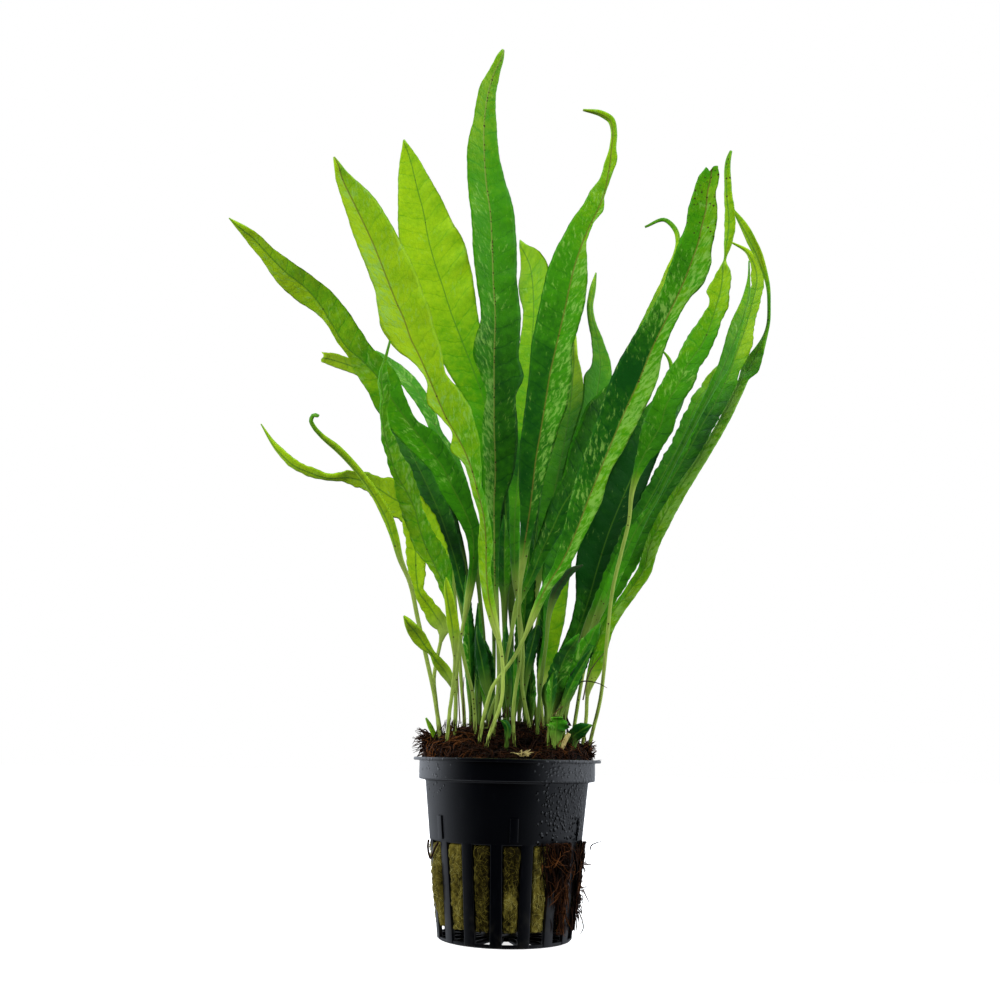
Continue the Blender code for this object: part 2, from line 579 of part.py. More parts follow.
def nub_adders(collection):
    """The small upright strips on the wall, as blocks that sink a little into it."""
    shape = bmesh.new()
    width, proud, tall = NUB_SIZE
    for i in range(NUB_COUNT):
        angle = FIRST_NUB + i * 2 * math.pi / NUB_COUNT
        outward = around(angle, 1.0, 0.0)
        aside = Vector((outward.y, -outward.x, 0.0)) * (width / 2)
        corners = []
        for height in (NUB_MIDDLE - tall / 2, NUB_MIDDLE + tall / 2):
            radius = wall_radius(height)
            for depth in (radius - WALL / 2, radius + proud):
                for side in (-1, 1):
                    place = outward * depth + aside * side
                    corners.append(shape.verts.new((place.x, place.y, height)))
        bmesh.ops.convex_hull(shape, input=corners)
    bmesh.ops.recalc_face_normals(shape, faces=shape.faces)
    adder = add_from_bmesh("nub_adders", shape, collection)
    hide_cutter(adder)
    return adder


def make_pot(parts, cutters):
    """The turned wall with its collar and lip, then its slots and nubs."""
    shoulder = POT_HEIGHT - COLLAR_HEIGHT
    inner_collar = COLLAR_RADIUS - WALL
    profile = [
        (0.0, BASE_THICKNESS),
        (FOOT_RADIUS - WALL, BASE_THICKNESS),
        (SLOT_TOP_RADIUS - WALL, SLOT_TOP),
        (SHOULDER_RADIUS - WALL, shoulder - 0.6 * MM),
        (inner_collar, shoulder + 0.6 * MM),
        (inner_collar, POT_HEIGHT),
        (LIP_RADIUS, POT_HEIGHT),
        (LIP_RADIUS, POT_HEIGHT - LIP_THICKNESS),
        (COLLAR_RADIUS, POT_HEIGHT - LIP_THICKNESS),
        (COLLAR_RADIUS, shoulder),
        (SHOULDER_RADIUS, shoulder - 0.3 * MM),
        (SLOT_TOP_RADIUS, SLOT_TOP),
        (FOOT_RADIUS, BASE_THICKNESS),
        (FOOT_RADIUS - 0.5 * MM, 0.0),
        (0.0, 0.0),
    ]
    mesh = bpy.data.meshes.new("net_pot")
    points = [(radius, 0.0, height) for radius, height in profile]
    mesh.from_pydata(points, [(i, i + 1) for i in range(len(points) - 1)], [])
    material = make_material("pot_plastic", (0.008, 0.010, 0.015), 0.38)
    pot = add_object("net_pot", mesh, parts, material)
    turn = pot.modifiers.new("turn", "SCREW")
    turn.axis = "Z"
    turn.steps = TURN_STEPS
    turn.render_steps = TURN_STEPS
    turn.use_merge_vertices = True
    turn.merge_threshold = 0.00001
    turn.use_smooth_shade = False
    add_boolean(pot, nub_adders(cutters), "UNION")
    add_boolean(pot, slot_cutters(cutters), "DIFFERENCE")
    return pot


def make_wool(parts):
    """The plug fills the pot under the roots, and swells a little into every slot."""

    def ring(height, swell):
        inside = wall_radius(height) - WALL - GAP - 0.1 * MM
        places = []
        for i in range(RIB_COUNT):
            middle = FIRST_RIB + (i + 0.5) * 2 * math.pi / RIB_COUNT
            edge = slot_half_angle(height, 0.35 * MM)
            crown = slot_half_angle(height, 0.7 * MM)
            outside = wall_radius(height) + WOOL_BULGE if swell else inside
            places.append(around(middle - edge, inside, height))
            places.append(around(middle - crown, outside, height))
            places.append(around(middle + crown, outside, height))
            places.append(around(middle + edge, inside, height))
        return places

    heights = [
        (WOOL_BOTTOM, True),
        (SLOT_TOP * 0.55, True),
        (SLOT_TOP - 0.9 * MM, True),
        (SLOT_TOP - 0.4 * MM, False),
        (WOOL_TOP, False),
    ]
    shape = loft([ring(height, swell) for height, swell in heights])
    material = make_material("rock_wool", (0.22, 0.19, 0.04), 0.95)
    return add_from_bmesh("rock_wool_plug", shape, parts, material)


def mound_height(x, y):
    """The heap of rhizome and roots: a low dome with lumps."""
    share = min(1.0, math.hypot(x, y) / MOUND_RADIUS)
    dome = MOUND_RISE * (1.0 - share * share) ** 0.8
    lumps = math.sin(x * 420 + 1.3) * math.cos(y * 380 + 0.4) * 0.7 * MM * (1.0 - share)
    return MOUND_EDGE + dome + lumps


def make_mound(parts):
    segments = 24
    rings = [
        (21.8 * MM, MOUND_BOTTOM),
        (MOUND_RADIUS, MOUND_BOTTOM + 1.6 * MM),
        (MOUND_RADIUS, None),
        (20.5 * MM, None),
        (15.5 * MM, None),
        (9.5 * MM, None),
        (3.5 * MM, None),
    ]
    sections = []
    for radius, height in rings:
        ring = []
        for i in range(segments):
            place = around(2 * math.pi * i / segments, radius, 0.0)
            place.z = mound_height(place.x, place.y) if height is None else height
            ring.append(place)
        sections.append(ring)
    material = make_material("root_mat", (0.06, 0.025, 0.012), 0.9)
    return add_from_bmesh("root_mound", loft(sections), parts, material, 60)


def make_right_roots(parts):
    """The roots that hang out of the right slots, as one clump that hugs the wall."""
    first, last = math.radians(31), math.radians(86)
    bottom, top = 3.2 * MM, SLOT_TOP + 0.4 * MM
    columns, rows = 9, 6

    def layer(proud):
        grid = []
        for j in range(rows):
            height = bottom + (top - bottom) * j / (rows - 1)
            line = []
            for i in range(columns):
                angle = first + (last - first) * i / (columns - 1)
                lump = 0.55 + 0.45 * math.sin(i * 2.1 + j * 1.7)
                rim = math.sin(math.pi * (i + 0.35) / (columns - 0.3))
                out = GAP + 0.25 * MM + proud * (0.8 + 1.7 * lump * rim) * MM
                line.append(around(angle, wall_radius(height) + WOOL_BULGE + out, height))
            grid.append(line)
        return grid

    inner, outer = layer(0.0), layer(1.0)
    sections = []
    for inside, outside in zip(inner, outer):
        sections.append(outside + list(reversed(inside)))
    material = make_material("hanging_roots", (0.045, 0.018, 0.010), 0.85)
    return add_from_bmesh("root_clump_right", loft(sections), parts, material)


def make_root(name, places, parts):
    """A single root: a bevelled curve with closed ends."""
    curve = bpy.data.curves.new(name, "CURVE")
    curve.dimensions = "3D"
    curve.bevel_depth = ROOT_RADIUS
    curve.bevel_resolution = 1
    curve.use_fill_caps = True
    spline = curve.splines.new("POLY")
    spline.points.add(len(places) - 1)
    for point, place in zip(spline.points, places):
        point.co = (*place, 1.0)
    curve.materials.append(make_material(name, (0.05, 0.012, 0.010), 0.7))
    item = bpy.data.objects.new(name, curve)
    parts.objects.link(item)
    return item


def make_left_root(parts):
    """One root that bends out of a slot on the left and back in."""
    steps = 8
    places = []
    for i in range(steps + 1):
        share = i / steps
        angle = math.radians(-84 + 20 * share)
        height = SLOT_TOP - 0.6 * MM - 3.6 * MM * math.sin(math.pi * share)
        places.append(around(angle, wall_radius(height) + WOOL_BULGE + 0.75 * MM, height))
    return make_root("root_loop_left", places, parts)


def make_tuft(name, angle, radii, parts):
    """A tuft of roots that leans on the lip: a ball that is flattened to this size, with lumps."""
    outward, aside, tall = radii
    shape = bmesh.new()
    bmesh.ops.create_icosphere(shape, subdivisions=2, radius=1.0)
    middle = around(angle, MOUND_RADIUS + GAP + outward, POT_HEIGHT + GAP + tall)
    turn = Matrix.Rotation(angle, 3, "Z")
    for point in shape.verts:
        lump = 0.9 + 0.1 * math.sin(point.co.x * 5.0 + point.co.z * 4.0)
        place = Vector((point.co.x * aside, point.co.y * outward, point.co.z * tall)) * lump
        point.co = middle + turn @ place
    material = make_material(name, (0.06, 0.025, 0.012), 0.9)
    return add_from_bmesh(name, shape, parts, material, 60)


def station_places(frond):
    """The frond's midrib with its half widths: (place, left, right), from the foot to the tip."""
    stations = [(c, r, PETIOLE_HALF, PETIOLE_HALF) for c, r in frond.petiole] + frond.blade
    lengths = [0.0]
    for before, after in zip(stations, stations[1:]):
        step = math.hypot(after[0] - before[0], after[1] - before[1])
        lengths.append(lengths[-1] + step)
    near, far = frond.depths
    found = []
    for (column, row, left, right), length in zip(stations, lengths):
        share = length / lengths[-1]
        depth = (near + (far - near) * share**LEAN_POWER) * MM
        place = seen_at(column, row, depth)
        size = point_size(place)
        found.append((place, left * size, right * size, share))
    return found


def foot_on_ground(place, ground):
    """This place, moved inside the mound's edge where it has to be and set just above the mound."""
    inside = min(1.0, (MOUND_RADIUS - GAP) / math.hypot(place.x, place.y))
    x, y = place.x * inside, place.y * inside
    hit = ground.ray_cast(Vector((x, y, 1.0)), Vector((0, 0, -1)))[0]
    return Vector((x, y, hit.z + GAP))


def make_frond(frond, parts, ground):
    """A loft of four-cornered sections: left margin, midrib above, right margin, midrib below."""
    stations = station_places(frond)
    places = [place for place, _, _, _ in stations]
    sections = []
    for i, (place, left, right, share) in enumerate(stations):
        ahead = places[min(i + 1, len(places) - 1)]
        behind = places[max(i - 1, 0)]
        along = (ahead - behind).normalized()
        sight = (place - EYE).normalized()
        aside = sight.cross(along).normalized()
        facing = aside.cross(along).normalized()
        turn = math.radians(frond.turns[0] + (frond.turns[1] - frond.turns[0]) * share)
        widen = 1.0 / math.cos(turn)
        across = aside * math.cos(turn) + facing * math.sin(turn)
        normal = across.cross(along).normalized()
        blade = max(0.0, min(1.0, (left + right - 1.6 * MM) / (2.5 * MM)))
        fold = BLADE_FOLD * blade * (left + right) / 2
        wave = MARGIN_WAVE * blade * (left + right) / 2 * (-1) ** i
        half_thick = max(BLADE_THICKNESS / 2, (1 - blade) * (left + right) / 2)
        half_thick = min(half_thick, max((left + right) / 2, 0.18 * MM))
        section = [
            place - across * left * widen + facing * (fold + wave),
            place + normal * half_thick,
            place + across * right * widen + facing * (fold - wave),
            place - normal * half_thick,
        ]
        sections.append(section)
    sections[0] = [foot_on_ground(corner, ground) for corner in sections[0]]
    material = make_material(frond.name, TINTS[frond.tint], 0.4)
    return add_from_bmesh(frond.name, blade_skin(sections), parts, material)


def make_stub(stub, parts, ground):
    """A short round peg, leaning like the petiole that it is left from."""
    foot = foot_on_ground(seen_at(stub.column, stub.row, stub.depth * MM), ground)
    top = seen_at(stub.top_column, stub.top_row, stub.depth * MM)
    start = foot + Vector((0.0, 0.0, stub.radius))
    along = (top - start).normalized()
    shape = bmesh.new()
    bmesh.ops.create_cone(
        shape,
        cap_ends=True,
        segments=8,
        radius1=stub.radius,
        radius2=stub.radius * 0.8,
        depth=stub.length,
    )
    turn = along.to_track_quat("Z", "Y").to_matrix()
    bmesh.ops.rotate(shape, matrix=turn, verts=shape.verts)
    bmesh.ops.translate(shape, vec=start + along * stub.length / 2, verts=shape.verts)
    material = make_material(stub.name, (0.45, 0.42, 0.16), 0.6)
    return add_from_bmesh(stub.name, shape, parts, material, 50)


def main():
    clear_scene()
    parts = make_collection("potted_java_fern")
    cutters = make_collection("cutters")
    make_pot(parts, cutters)
    make_wool(parts)
    mound = make_mound(parts)
    make_right_roots(parts)
    make_left_root(parts)
    for name, route in STRAY_ROOTS.items():
        make_root(name, [seen_at(column, row, depth * MM) for column, row, depth in route], parts)
    for name, (angle, radii) in TUFTS.items():
        make_tuft(name, angle, radii, parts)
    bpy.context.view_layer.update()
    ground = BVHTree.FromObject(mound, bpy.context.evaluated_depsgraph_get())
    for frond in FRONDS:
        make_frond(frond, parts, ground)
    for stub in CUT_STUBS:
        make_stub(stub, parts, ground)
    print(len(parts.objects), "pieces")


main()
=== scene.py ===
# %% [markdown]
# # A potted java fern
#
# The real thing is a narrow-leaved java fern, rooted in rock wool in a small black net pot. The packed
# model gives the place and the size of every piece. This script gives the pieces their looks: it keeps
# each one where it stands, and puts a finer mesh and a finish in its place.

# %% Load the imported model
import math
from collections import namedtuple

import bmesh
import bpy
import numpy as np
from mathutils import Matrix, Vector
from mathutils.kdtree import KDTree


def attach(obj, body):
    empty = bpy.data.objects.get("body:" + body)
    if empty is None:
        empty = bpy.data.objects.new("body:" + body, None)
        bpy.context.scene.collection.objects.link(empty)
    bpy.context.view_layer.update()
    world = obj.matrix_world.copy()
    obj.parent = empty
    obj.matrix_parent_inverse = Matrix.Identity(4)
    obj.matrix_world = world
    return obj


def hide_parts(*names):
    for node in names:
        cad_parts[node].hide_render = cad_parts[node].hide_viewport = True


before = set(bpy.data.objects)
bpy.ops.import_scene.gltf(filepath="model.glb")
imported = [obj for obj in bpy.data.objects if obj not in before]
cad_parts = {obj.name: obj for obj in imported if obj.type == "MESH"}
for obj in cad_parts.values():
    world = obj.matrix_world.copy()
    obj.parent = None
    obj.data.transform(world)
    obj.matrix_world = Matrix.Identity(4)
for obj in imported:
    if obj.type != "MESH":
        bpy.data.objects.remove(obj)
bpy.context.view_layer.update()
MM = 0.001
POT_HEIGHT = 49.4 * MM
print("nodes:", len(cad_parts))

# %% [markdown]
# ## The eye
#
# A fern has hundreds of measures that no drawing gives, so every frond's route was taken from a front
# view of 1000 by 1000 points. `seen_at` turns such a point back into a place in space, once its depth is
# known. The same eye becomes the camera, so what is drawn in the front view is what the camera sees.

# %% The eye and its mapping
EYE = np.array([0.0, -0.320, 0.0497])
FOCAL = 1055.0
FRAME_SIZE = 1000.0
EYE_PITCH = math.radians(13.7)
EYE_YAW = math.radians(0.67)
EYE_ROLL = math.radians(1.2)

FORWARD = np.array([-math.sin(EYE_YAW) * math.cos(EYE_PITCH), math.cos(EYE_YAW) * math.cos(EYE_PITCH),
                    math.sin(EYE_PITCH)])
LEVEL_RIGHT = np.array([math.cos(EYE_YAW), math.sin(EYE_YAW), 0.0])
LEVEL_UP = np.cross(LEVEL_RIGHT, FORWARD)
RIGHT = LEVEL_RIGHT * math.cos(EYE_ROLL) + LEVEL_UP * math.sin(EYE_ROLL)
UP = LEVEL_UP * math.cos(EYE_ROLL) - LEVEL_RIGHT * math.sin(EYE_ROLL)


def seen_at(columns, rows, depths):
    """The places that the eye sees at these points of the frame, at these depths along Y."""
    across = (np.asarray(columns, float) - FRAME_SIZE / 2) / FOCAL
    upward = (FRAME_SIZE / 2 - np.asarray(rows, float)) / FOCAL
    ray = FORWARD + across[..., None] * RIGHT + upward[..., None] * UP
    reach = (np.asarray(depths, float) - EYE[1]) / ray[..., 1]
    return EYE + ray * reach[..., None]


def point_size(places):
    """How large one point of the frame is at these places."""
    return (places - EYE) @ FORWARD / FOCAL


print("the lip's front edge is at", seen_at([512.0], [757.0], [-0.0275]).round(4))

# %% [markdown]
# ## Helpers for node trees
#
# Every finish here, and the surround too, is a tree of nodes. `node` adds one and fills its sockets,
# with a number where it is given a number and with a link where it is given another node's socket. The
# rest are short names for nodes that come up all the time.

# %% Node helpers
def fill(made, inputs):
    """Fills a node's inputs: with a link where the value is a socket, and with a number otherwise."""
    for key, value in inputs.items():
        if isinstance(value, bpy.types.NodeSocket):
            made.id_data.links.new(value, made.inputs[key])
        else:
            made.inputs[key].default_value = value


def node(tree, kind, inputs=None, **settings):
    """Adds a node, sets its properties, then fills its inputs."""
    made = tree.nodes.new(kind)
    for name, value in settings.items():
        setattr(made, name, value)
    fill(made, inputs or {})
    return made


def tree_of(*values):
    """The tree that the sockets among these values belong to."""
    return next(value for value in values if isinstance(value, bpy.types.NodeSocket)).id_data


def maths(operation, *values, clamp=False):
    sockets = dict(enumerate(values))
    return node(tree_of(*values), "ShaderNodeMath", sockets, operation=operation, use_clamp=clamp).outputs[0]


def add(*values, **options):
    return maths("ADD", *values, **options)


def sub(*values, **options):
    return maths("SUBTRACT", *values, **options)


def mul(*values, **options):
    return maths("MULTIPLY", *values, **options)


def div(*values, **options):
    return maths("DIVIDE", *values, **options)


def part(vector, axis):
    return node(vector.id_data, "ShaderNodeSeparateXYZ", {"Vector": vector}).outputs[axis]


def vector(tree, x=0.0, y=0.0, z=0.0):
    return node(tree, "ShaderNodeCombineXYZ", {"X": x, "Y": y, "Z": z}).outputs["Vector"]


def mix_colour(factor, first, second):
    tree = tree_of(factor, first, second)
    return node(tree, "ShaderNodeMix", {0: factor, 6: first, 7: second}, data_type="RGBA").outputs[2]


def rise(value, low, high):
    """0 below low and 1 above high, with a soft step between. It falls if low is above high."""
    sockets = {"Value": value, "From Min": low, "From Max": high}
    return node(value.id_data, "ShaderNodeMapRange", sockets, interpolation_type="SMOOTHSTEP").outputs["Result"]


def noise(vector, scale, detail=2.0, roughness=0.5):
    sockets = {"Vector": vector, "Scale": scale, "Detail": detail, "Roughness": roughness}
    return node(vector.id_data, "ShaderNodeTexNoise", sockets).outputs["Fac"]


def stretched(vector, scale):
    return node(vector.id_data, "ShaderNodeMapping", {"Vector": vector, "Scale": scale}).outputs["Vector"]


def attribute(tree, name):
    return node(tree, "ShaderNodeAttribute", attribute_name=name).outputs["Fac"]


def own_place(tree):
    """Where a point lies on the object itself, in metres."""
    return node(tree, "ShaderNodeTexCoord").outputs["Object"]


def bumped(height, strength, distance, **normal):
    """The surface's direction after this height lifts it. It may build on an earlier bump's Normal."""
    sockets = {"Strength": strength, "Distance": distance, "Height": height, **normal}
    return node(height.id_data, "ShaderNodeBump", sockets).outputs["Normal"]


def new_group(name, kind, inputs, outputs):
    """A node group whose sockets have a kind and a default value. Returns it with its values and its end."""
    tree = bpy.data.node_groups.new(name, kind)
    for label, (socket_kind, *default) in inputs.items():
        socket = tree.interface.new_socket(label, in_out="INPUT", socket_type="NodeSocket" + socket_kind)
        if default:
            socket.default_value = default[0]
    for label, socket_kind in outputs.items():
        tree.interface.new_socket(label, in_out="OUTPUT", socket_type="NodeSocket" + socket_kind)
    return tree, tree.nodes.new("NodeGroupInput").outputs, tree.nodes.new("NodeGroupOutput")


def colours(**values):
    """Inputs of the Color kind, from red, green and blue."""
    return {key.replace("_", " ").capitalize(): ("Color", (*value, 1.0)) for key, value in values.items()}


def floats(**values):
    return {key.replace("_", " ").capitalize(): ("Float", value) for key, value in values.items()}


def new_material(name):
    material = bpy.data.materials.new(name)
    material.use_nodes = True
    return material, material.node_tree, material.node_tree.nodes["Principled BSDF"]


def place_group(tree, group, **values):
    made = node(tree, "ShaderNodeGroup", node_tree=group)
    fill(made, {key.replace("_", " ").capitalize(): value for key, value in values.items()})
    return made.outputs


print("a colour socket:", colours(stalk_dark=(0.04, 0.11, 0.01)))

# %% [markdown]
# ## Camera, light and floor
#
# The camera is pitched and rolled like the eye, with no shift. Its lens follows from the focal length in
# points. The light is a product shot's: one large soft lamp on each side, and a weaker one above, so a
# folded blade has a bright half and a dark half. The surround is white behind the plant and black
# behind the camera, a little to the left. That is why the round black pot is black in the middle and
# shines at its sides. The camera sees the surround and the floor as white everywhere.

# %% Camera, lamps and floor
scene = bpy.context.scene
SENSOR = 36.0
PLANT_MIDDLE = Vector((0.0, 0.0, 0.14))
FLOOR_GAP = 0.2 * MM


def add_camera():
    data = bpy.data.cameras.new("eye")
    data.sensor_width = SENSOR
    data.lens = FOCAL / FRAME_SIZE * SENSOR
    data.clip_start = 0.01
    camera = bpy.data.objects.new("eye", data)
    scene.collection.objects.link(camera)
    turn = Matrix([RIGHT, UP, -FORWARD]).transposed().to_4x4()
    camera.matrix_world = Matrix.Translation(EYE) @ turn
    scene.camera = camera


def add_lamp(name, place, size, power):
    """A round soft lamp that lights the plant's middle, but leaves no spot of its own on glossy surfaces."""
    data = bpy.data.lights.new(name, "AREA")
    data.shape = "DISK"
    data.size = size
    data.energy = power
    lamp = bpy.data.objects.new(name, data)
    scene.collection.objects.link(lamp)
    facing = (PLANT_MIDDLE - Vector(place)).to_track_quat("-Z", "Y").to_matrix().to_4x4()
    lamp.matrix_world = Matrix.Translation(place) @ facing
    lamp.visible_glossy = False


def add_surround(colour, dark_side, strength):
    """White for the camera. For all other light it is dark on one side and bright on the other."""
    world = bpy.data.worlds.new("studio surround")
    scene.world = world
    world.use_nodes = True
    tree = world.node_tree
    direction = node(tree, "ShaderNodeTexCoord").outputs["Generated"]
    facing = node(tree, "ShaderNodeVectorMath", {0: direction, 1: Vector(dark_side).normalized()},
                  operation="DOT_PRODUCT").outputs["Value"]

    def between(value, ends, results, **settings):
        sockets = dict(zip(("Value", "From Min", "From Max", "To Min", "To Max"), (value, *ends, *results)))
        return node(tree, "ShaderNodeMapRange", sockets, **settings).outputs["Result"]

    # The bright side, less light from below, and less from straight behind the plant
    bright = between(facing, (0.80, -0.35), (0.0, strength), interpolation_type="SMOOTHSTEP")
    lift = between(part(direction, "Z"), (-0.40, 0.05), (0.40, 1.0))
    behind = between(facing, (-0.15, -0.95), (1.0, 0.30))
    ray = node(tree, "ShaderNodeLightPath").outputs["Is Camera Ray"]
    fill(tree.nodes["Background"], {"Color": mix_colour(ray, colour, (1.0, 1.0, 1.0, 1.0)),
                                    "Strength": maths("MAXIMUM", mul(bright, mul(lift, behind)), ray)})


def add_floor(radius, pale, grey, glow):
    """A pale floor on a light table. Only the camera sees its glow, and it throws little light back up."""
    shape = bmesh.new()
    bmesh.ops.create_circle(shape, cap_ends=True, segments=96, radius=radius)
    bmesh.ops.translate(shape, vec=(0.0, 0.0, -FLOOR_GAP), verts=shape.verts)
    mesh = bpy.data.meshes.new("floor")
    shape.to_mesh(mesh)
    shape.free()
    material, tree, shader = new_material("floor")
    ray = node(tree, "ShaderNodeLightPath").outputs["Is Camera Ray"]

    def seen(low, high):
        return node(tree, "ShaderNodeMapRange", {"Value": ray, "To Min": low, "To Max": high}).outputs["Result"]

    fill(shader, {"Base Color": seen(grey, pale), "Roughness": 0.8, "Specular IOR Level": 0.0,
                  "Emission Color": seen(0.0, glow), "Emission Strength": 1.0})
    mesh.materials.append(material)
    floor = bpy.data.objects.new("floor", mesh)
    scene.collection.objects.link(floor)
    floor.visible_glossy = False


add_camera()
add_surround(colour=(0.84, 0.90, 1.0, 1.0), dark_side=(-0.22, -1.0, 0.0), strength=1.6)
add_lamp("left", place=(-0.80, -0.60, 0.48), size=0.60, power=14.0)
add_lamp("right", place=(0.90, -0.40, 0.45), size=0.60, power=11.0)
add_lamp("top", place=(0.0, -0.05, 1.0), size=0.70, power=4.0)
add_floor(radius=3.0, pale=0.90, grey=0.15, glow=0.80)
scene.view_settings.view_transform = "Standard"
print("lens", round(scene.camera.data.lens, 2), "mm")

# %% [markdown]
# ## Fern tissue
#
# A java fern's blade is thin and leathery. Between its side veins it swells into small blisters, and a
# net of finer veins shows through. Old blades are deep green, new ones and tips are lime. A painted
# sheen, pale and silvery, lies on the blades in streaks that run along the side veins. It is a painted
# highlight on the half of a folded blade that faces the light.
#
# All of this is one shader group, used by every frond. The blades carry three painted values, which the
# mesh cell further down works out: `tone` (deep to lime, with painted light and shade in it), `pale` (how
# much painted sheen) and `spots` (how many brown dots). A UV map in metres gives the distance from the
# midrib and along it, so that the veins follow the blade however it bends.

# %% The fern tissue group
VEIN_MAP = "vein map"
VEIN_STEP = 6.0 * MM
VEIN_SLOPE = 0.55
MIDRIB_HALF = 0.24 * MM
# How many times each pattern repeats in a metre
BLOTCH_SCALE, PATCH_SCALE, WOBBLE_SCALE = 130.0, 75.0, 220.0
STREAK_SCALE, CURL_SCALE, MOTTLE_SCALE = 340.0, 420.0, 520.0
NET_SCALE, DOT_SCALE, STALK_GRAIN_SCALE = 640.0, 1100.0, 2600.0


def make_tissue_group():
    tree, get, outs = new_group("fern tissue", "ShaderNodeTree", {
        **colours(deep=(0.004, 0.055, 0.004), middle=(0.041, 0.228, 0.002), lime=(0.270, 0.450, 0.005),
                  silver=(0.195, 0.400, 0.062), stalk_dark=(0.040, 0.110, 0.010), stalk_light=(0.310, 0.420, 0.075),
                  rib=(0.130, 0.120, 0.015), brown=(0.035, 0.018, 0.006)),
        **floats(vein_darkness=0.25, rib_dots=0.03),
    }, {"Color": "Color", "Height": "Float", "Roughness": "Float"})
    uv = node(tree, "ShaderNodeUVMap", uv_map=VEIN_MAP).outputs["UV"]
    side, along = part(uv, "X"), part(uv, "Y")
    out = maths("ABSOLUTE", side)
    tone, pale, spots, blade, margin = (
        attribute(tree, name) for name in ("tone", "pale", "spots", "blade", "margin"))

    # Side veins leave the midrib at a slant, and the skin puffs up between them
    blotch = noise(uv, BLOTCH_SCALE, 3.0)
    wobble = mul(sub(noise(uv, WOBBLE_SCALE), 0.5), 0.5)
    slanted = sub(along, mul(out, VEIN_SLOPE))
    step = add(div(slanted, VEIN_STEP), wobble)
    away = mul(maths("ABSOLUTE", sub(maths("FRACT", step), 0.5)), 2.0)
    vein = rise(away, 0.86, 1.0)
    puff = maths("SQRT", sub(1.0, maths("POWER", away, 2.0)))

    # The net of finer veins
    net_cells = node(tree, "ShaderNodeTexVoronoi", {
        "Vector": stretched(uv, (1.25, 0.75, 1.0)), "Scale": NET_SCALE, "Randomness": 0.85},
        feature="DISTANCE_TO_EDGE", voronoi_dimensions="2D").outputs["Distance"]
    net = rise(net_cells, 0.10, 0.0)

    # Painted sheen: silvery streaks along the side veins, in patches, and more of them where `pale` is high
    lean_along = add(mul(along, 0.93), mul(out, 0.36))
    lean_across = sub(mul(out, 0.93), mul(along, 0.36))
    curl = mul(sub(noise(uv, CURL_SCALE), 0.5), 0.0045)
    streak_place = vector(tree, add(mul(lean_across, 3.6), curl), lean_along, mul(maths("SIGN", side), 0.05))
    streaks = noise(streak_place, STREAK_SCALE, 4.0, 0.62)
    painted_sheen_field = add(mul(streaks, 1.5), mul(noise(uv, PATCH_SCALE), 0.6))
    silver = rise(add(painted_sheen_field, mul(pale, 0.5)), 1.23, 1.50)

    # From deep to lime, then the net, the painted sheen, the margin and the midrib on top
    mottle = noise(uv, MOTTLE_SCALE, 3.0, 0.65)
    shade = add(tone, mul(sub(blotch, 0.5), 0.34))
    shade = add(shade, mul(sub(mottle, 0.5), 0.28))
    shade = sub(shade, mul(vein, mul(get["Vein darkness"], 0.25)), clamp=True)
    low = mix_colour(rise(shade, 0.0, 0.5), get["Deep"], get["Middle"])
    green = mix_colour(rise(shade, 0.40, 1.0), low, get["Lime"])
    netted = mul(net, mul(get["Vein darkness"], 0.35))
    green = mix_colour(netted, green, get["Deep"])
    green = mix_colour(mul(silver, 0.70), green, get["Silver"])

    edge = rise(margin, 0.93, 1.0)
    green = mix_colour(mul(edge, 0.15), green, get["Deep"])
    rib_half = mul(sub(1.35, margin), MIDRIB_HALF)
    rib = rise(out, rib_half, mul(rib_half, 0.35))
    green = mix_colour(mul(rib, 0.70), green, get["Rib"])

    # The stalk has a fine grain along its length
    stalk_tint = mix_colour(tone, get["Stalk dark"], get["Stalk light"])
    grain = noise(stretched(uv, (1.0, 0.12, 1.0)), STALK_GRAIN_SCALE, 3.0)
    stalk_tint = mix_colour(mul(rise(grain, 0.35, 0.75), 0.35), stalk_tint, get["Stalk dark"])
    colour = mix_colour(blade, stalk_tint, green)

    # Brown dots, most of them beside the rib, and a brown stain at the stalk's foot
    dots = node(tree, "ShaderNodeTexVoronoi", {"Vector": uv, "Scale": DOT_SCALE}, voronoi_dimensions="2D")
    chance = part(dots.outputs["Color"], "X")
    beside_rib = mul(rise(out, 0.75 * MM, 0.25 * MM), blade)
    likely = add(mul(spots, 0.85), mul(beside_rib, get["Rib dots"]))
    on_stalk = sub(1.0, blade)
    chosen = maths("LESS_THAN", chance, add(likely, mul(on_stalk, 0.05)))
    size = add(0.16, mul(maths("FRACT", mul(chance, 37.0)), 0.26))
    dot = mul(rise(dots.outputs["Distance"], size, mul(size, 0.5)), chosen)
    stain = mul(rise(part(own_place(tree), "Z"), 66.0 * MM, 54.0 * MM), rise(grain, 0.42, 0.62))
    stain = mul(mul(stain, on_stalk), 0.75)
    colour = mix_colour(maths("MAXIMUM", dot, stain), colour, get["Brown"])

    height = add(mul(puff, 0.45), mul(streaks, 1.1))
    height = sub(sub(height, mul(net, 0.16)), mul(rib, 0.35))
    gloss = add(sub(0.46, mul(silver, 0.14)), mul(blotch, 0.10))
    fill(outs, {"Color": colour, "Height": mul(height, blade), "Roughness": gloss})
    return tree


TISSUE = make_tissue_group()
print("fern tissue:", len(TISSUE.nodes), "nodes")

# %% [markdown]
# The fronds need only a handful of finishes. They differ in the midrib, which is olive-brown on some
# fronds and yellow-green on others, in how dark the veins are, and in how many brown dots line the rib.

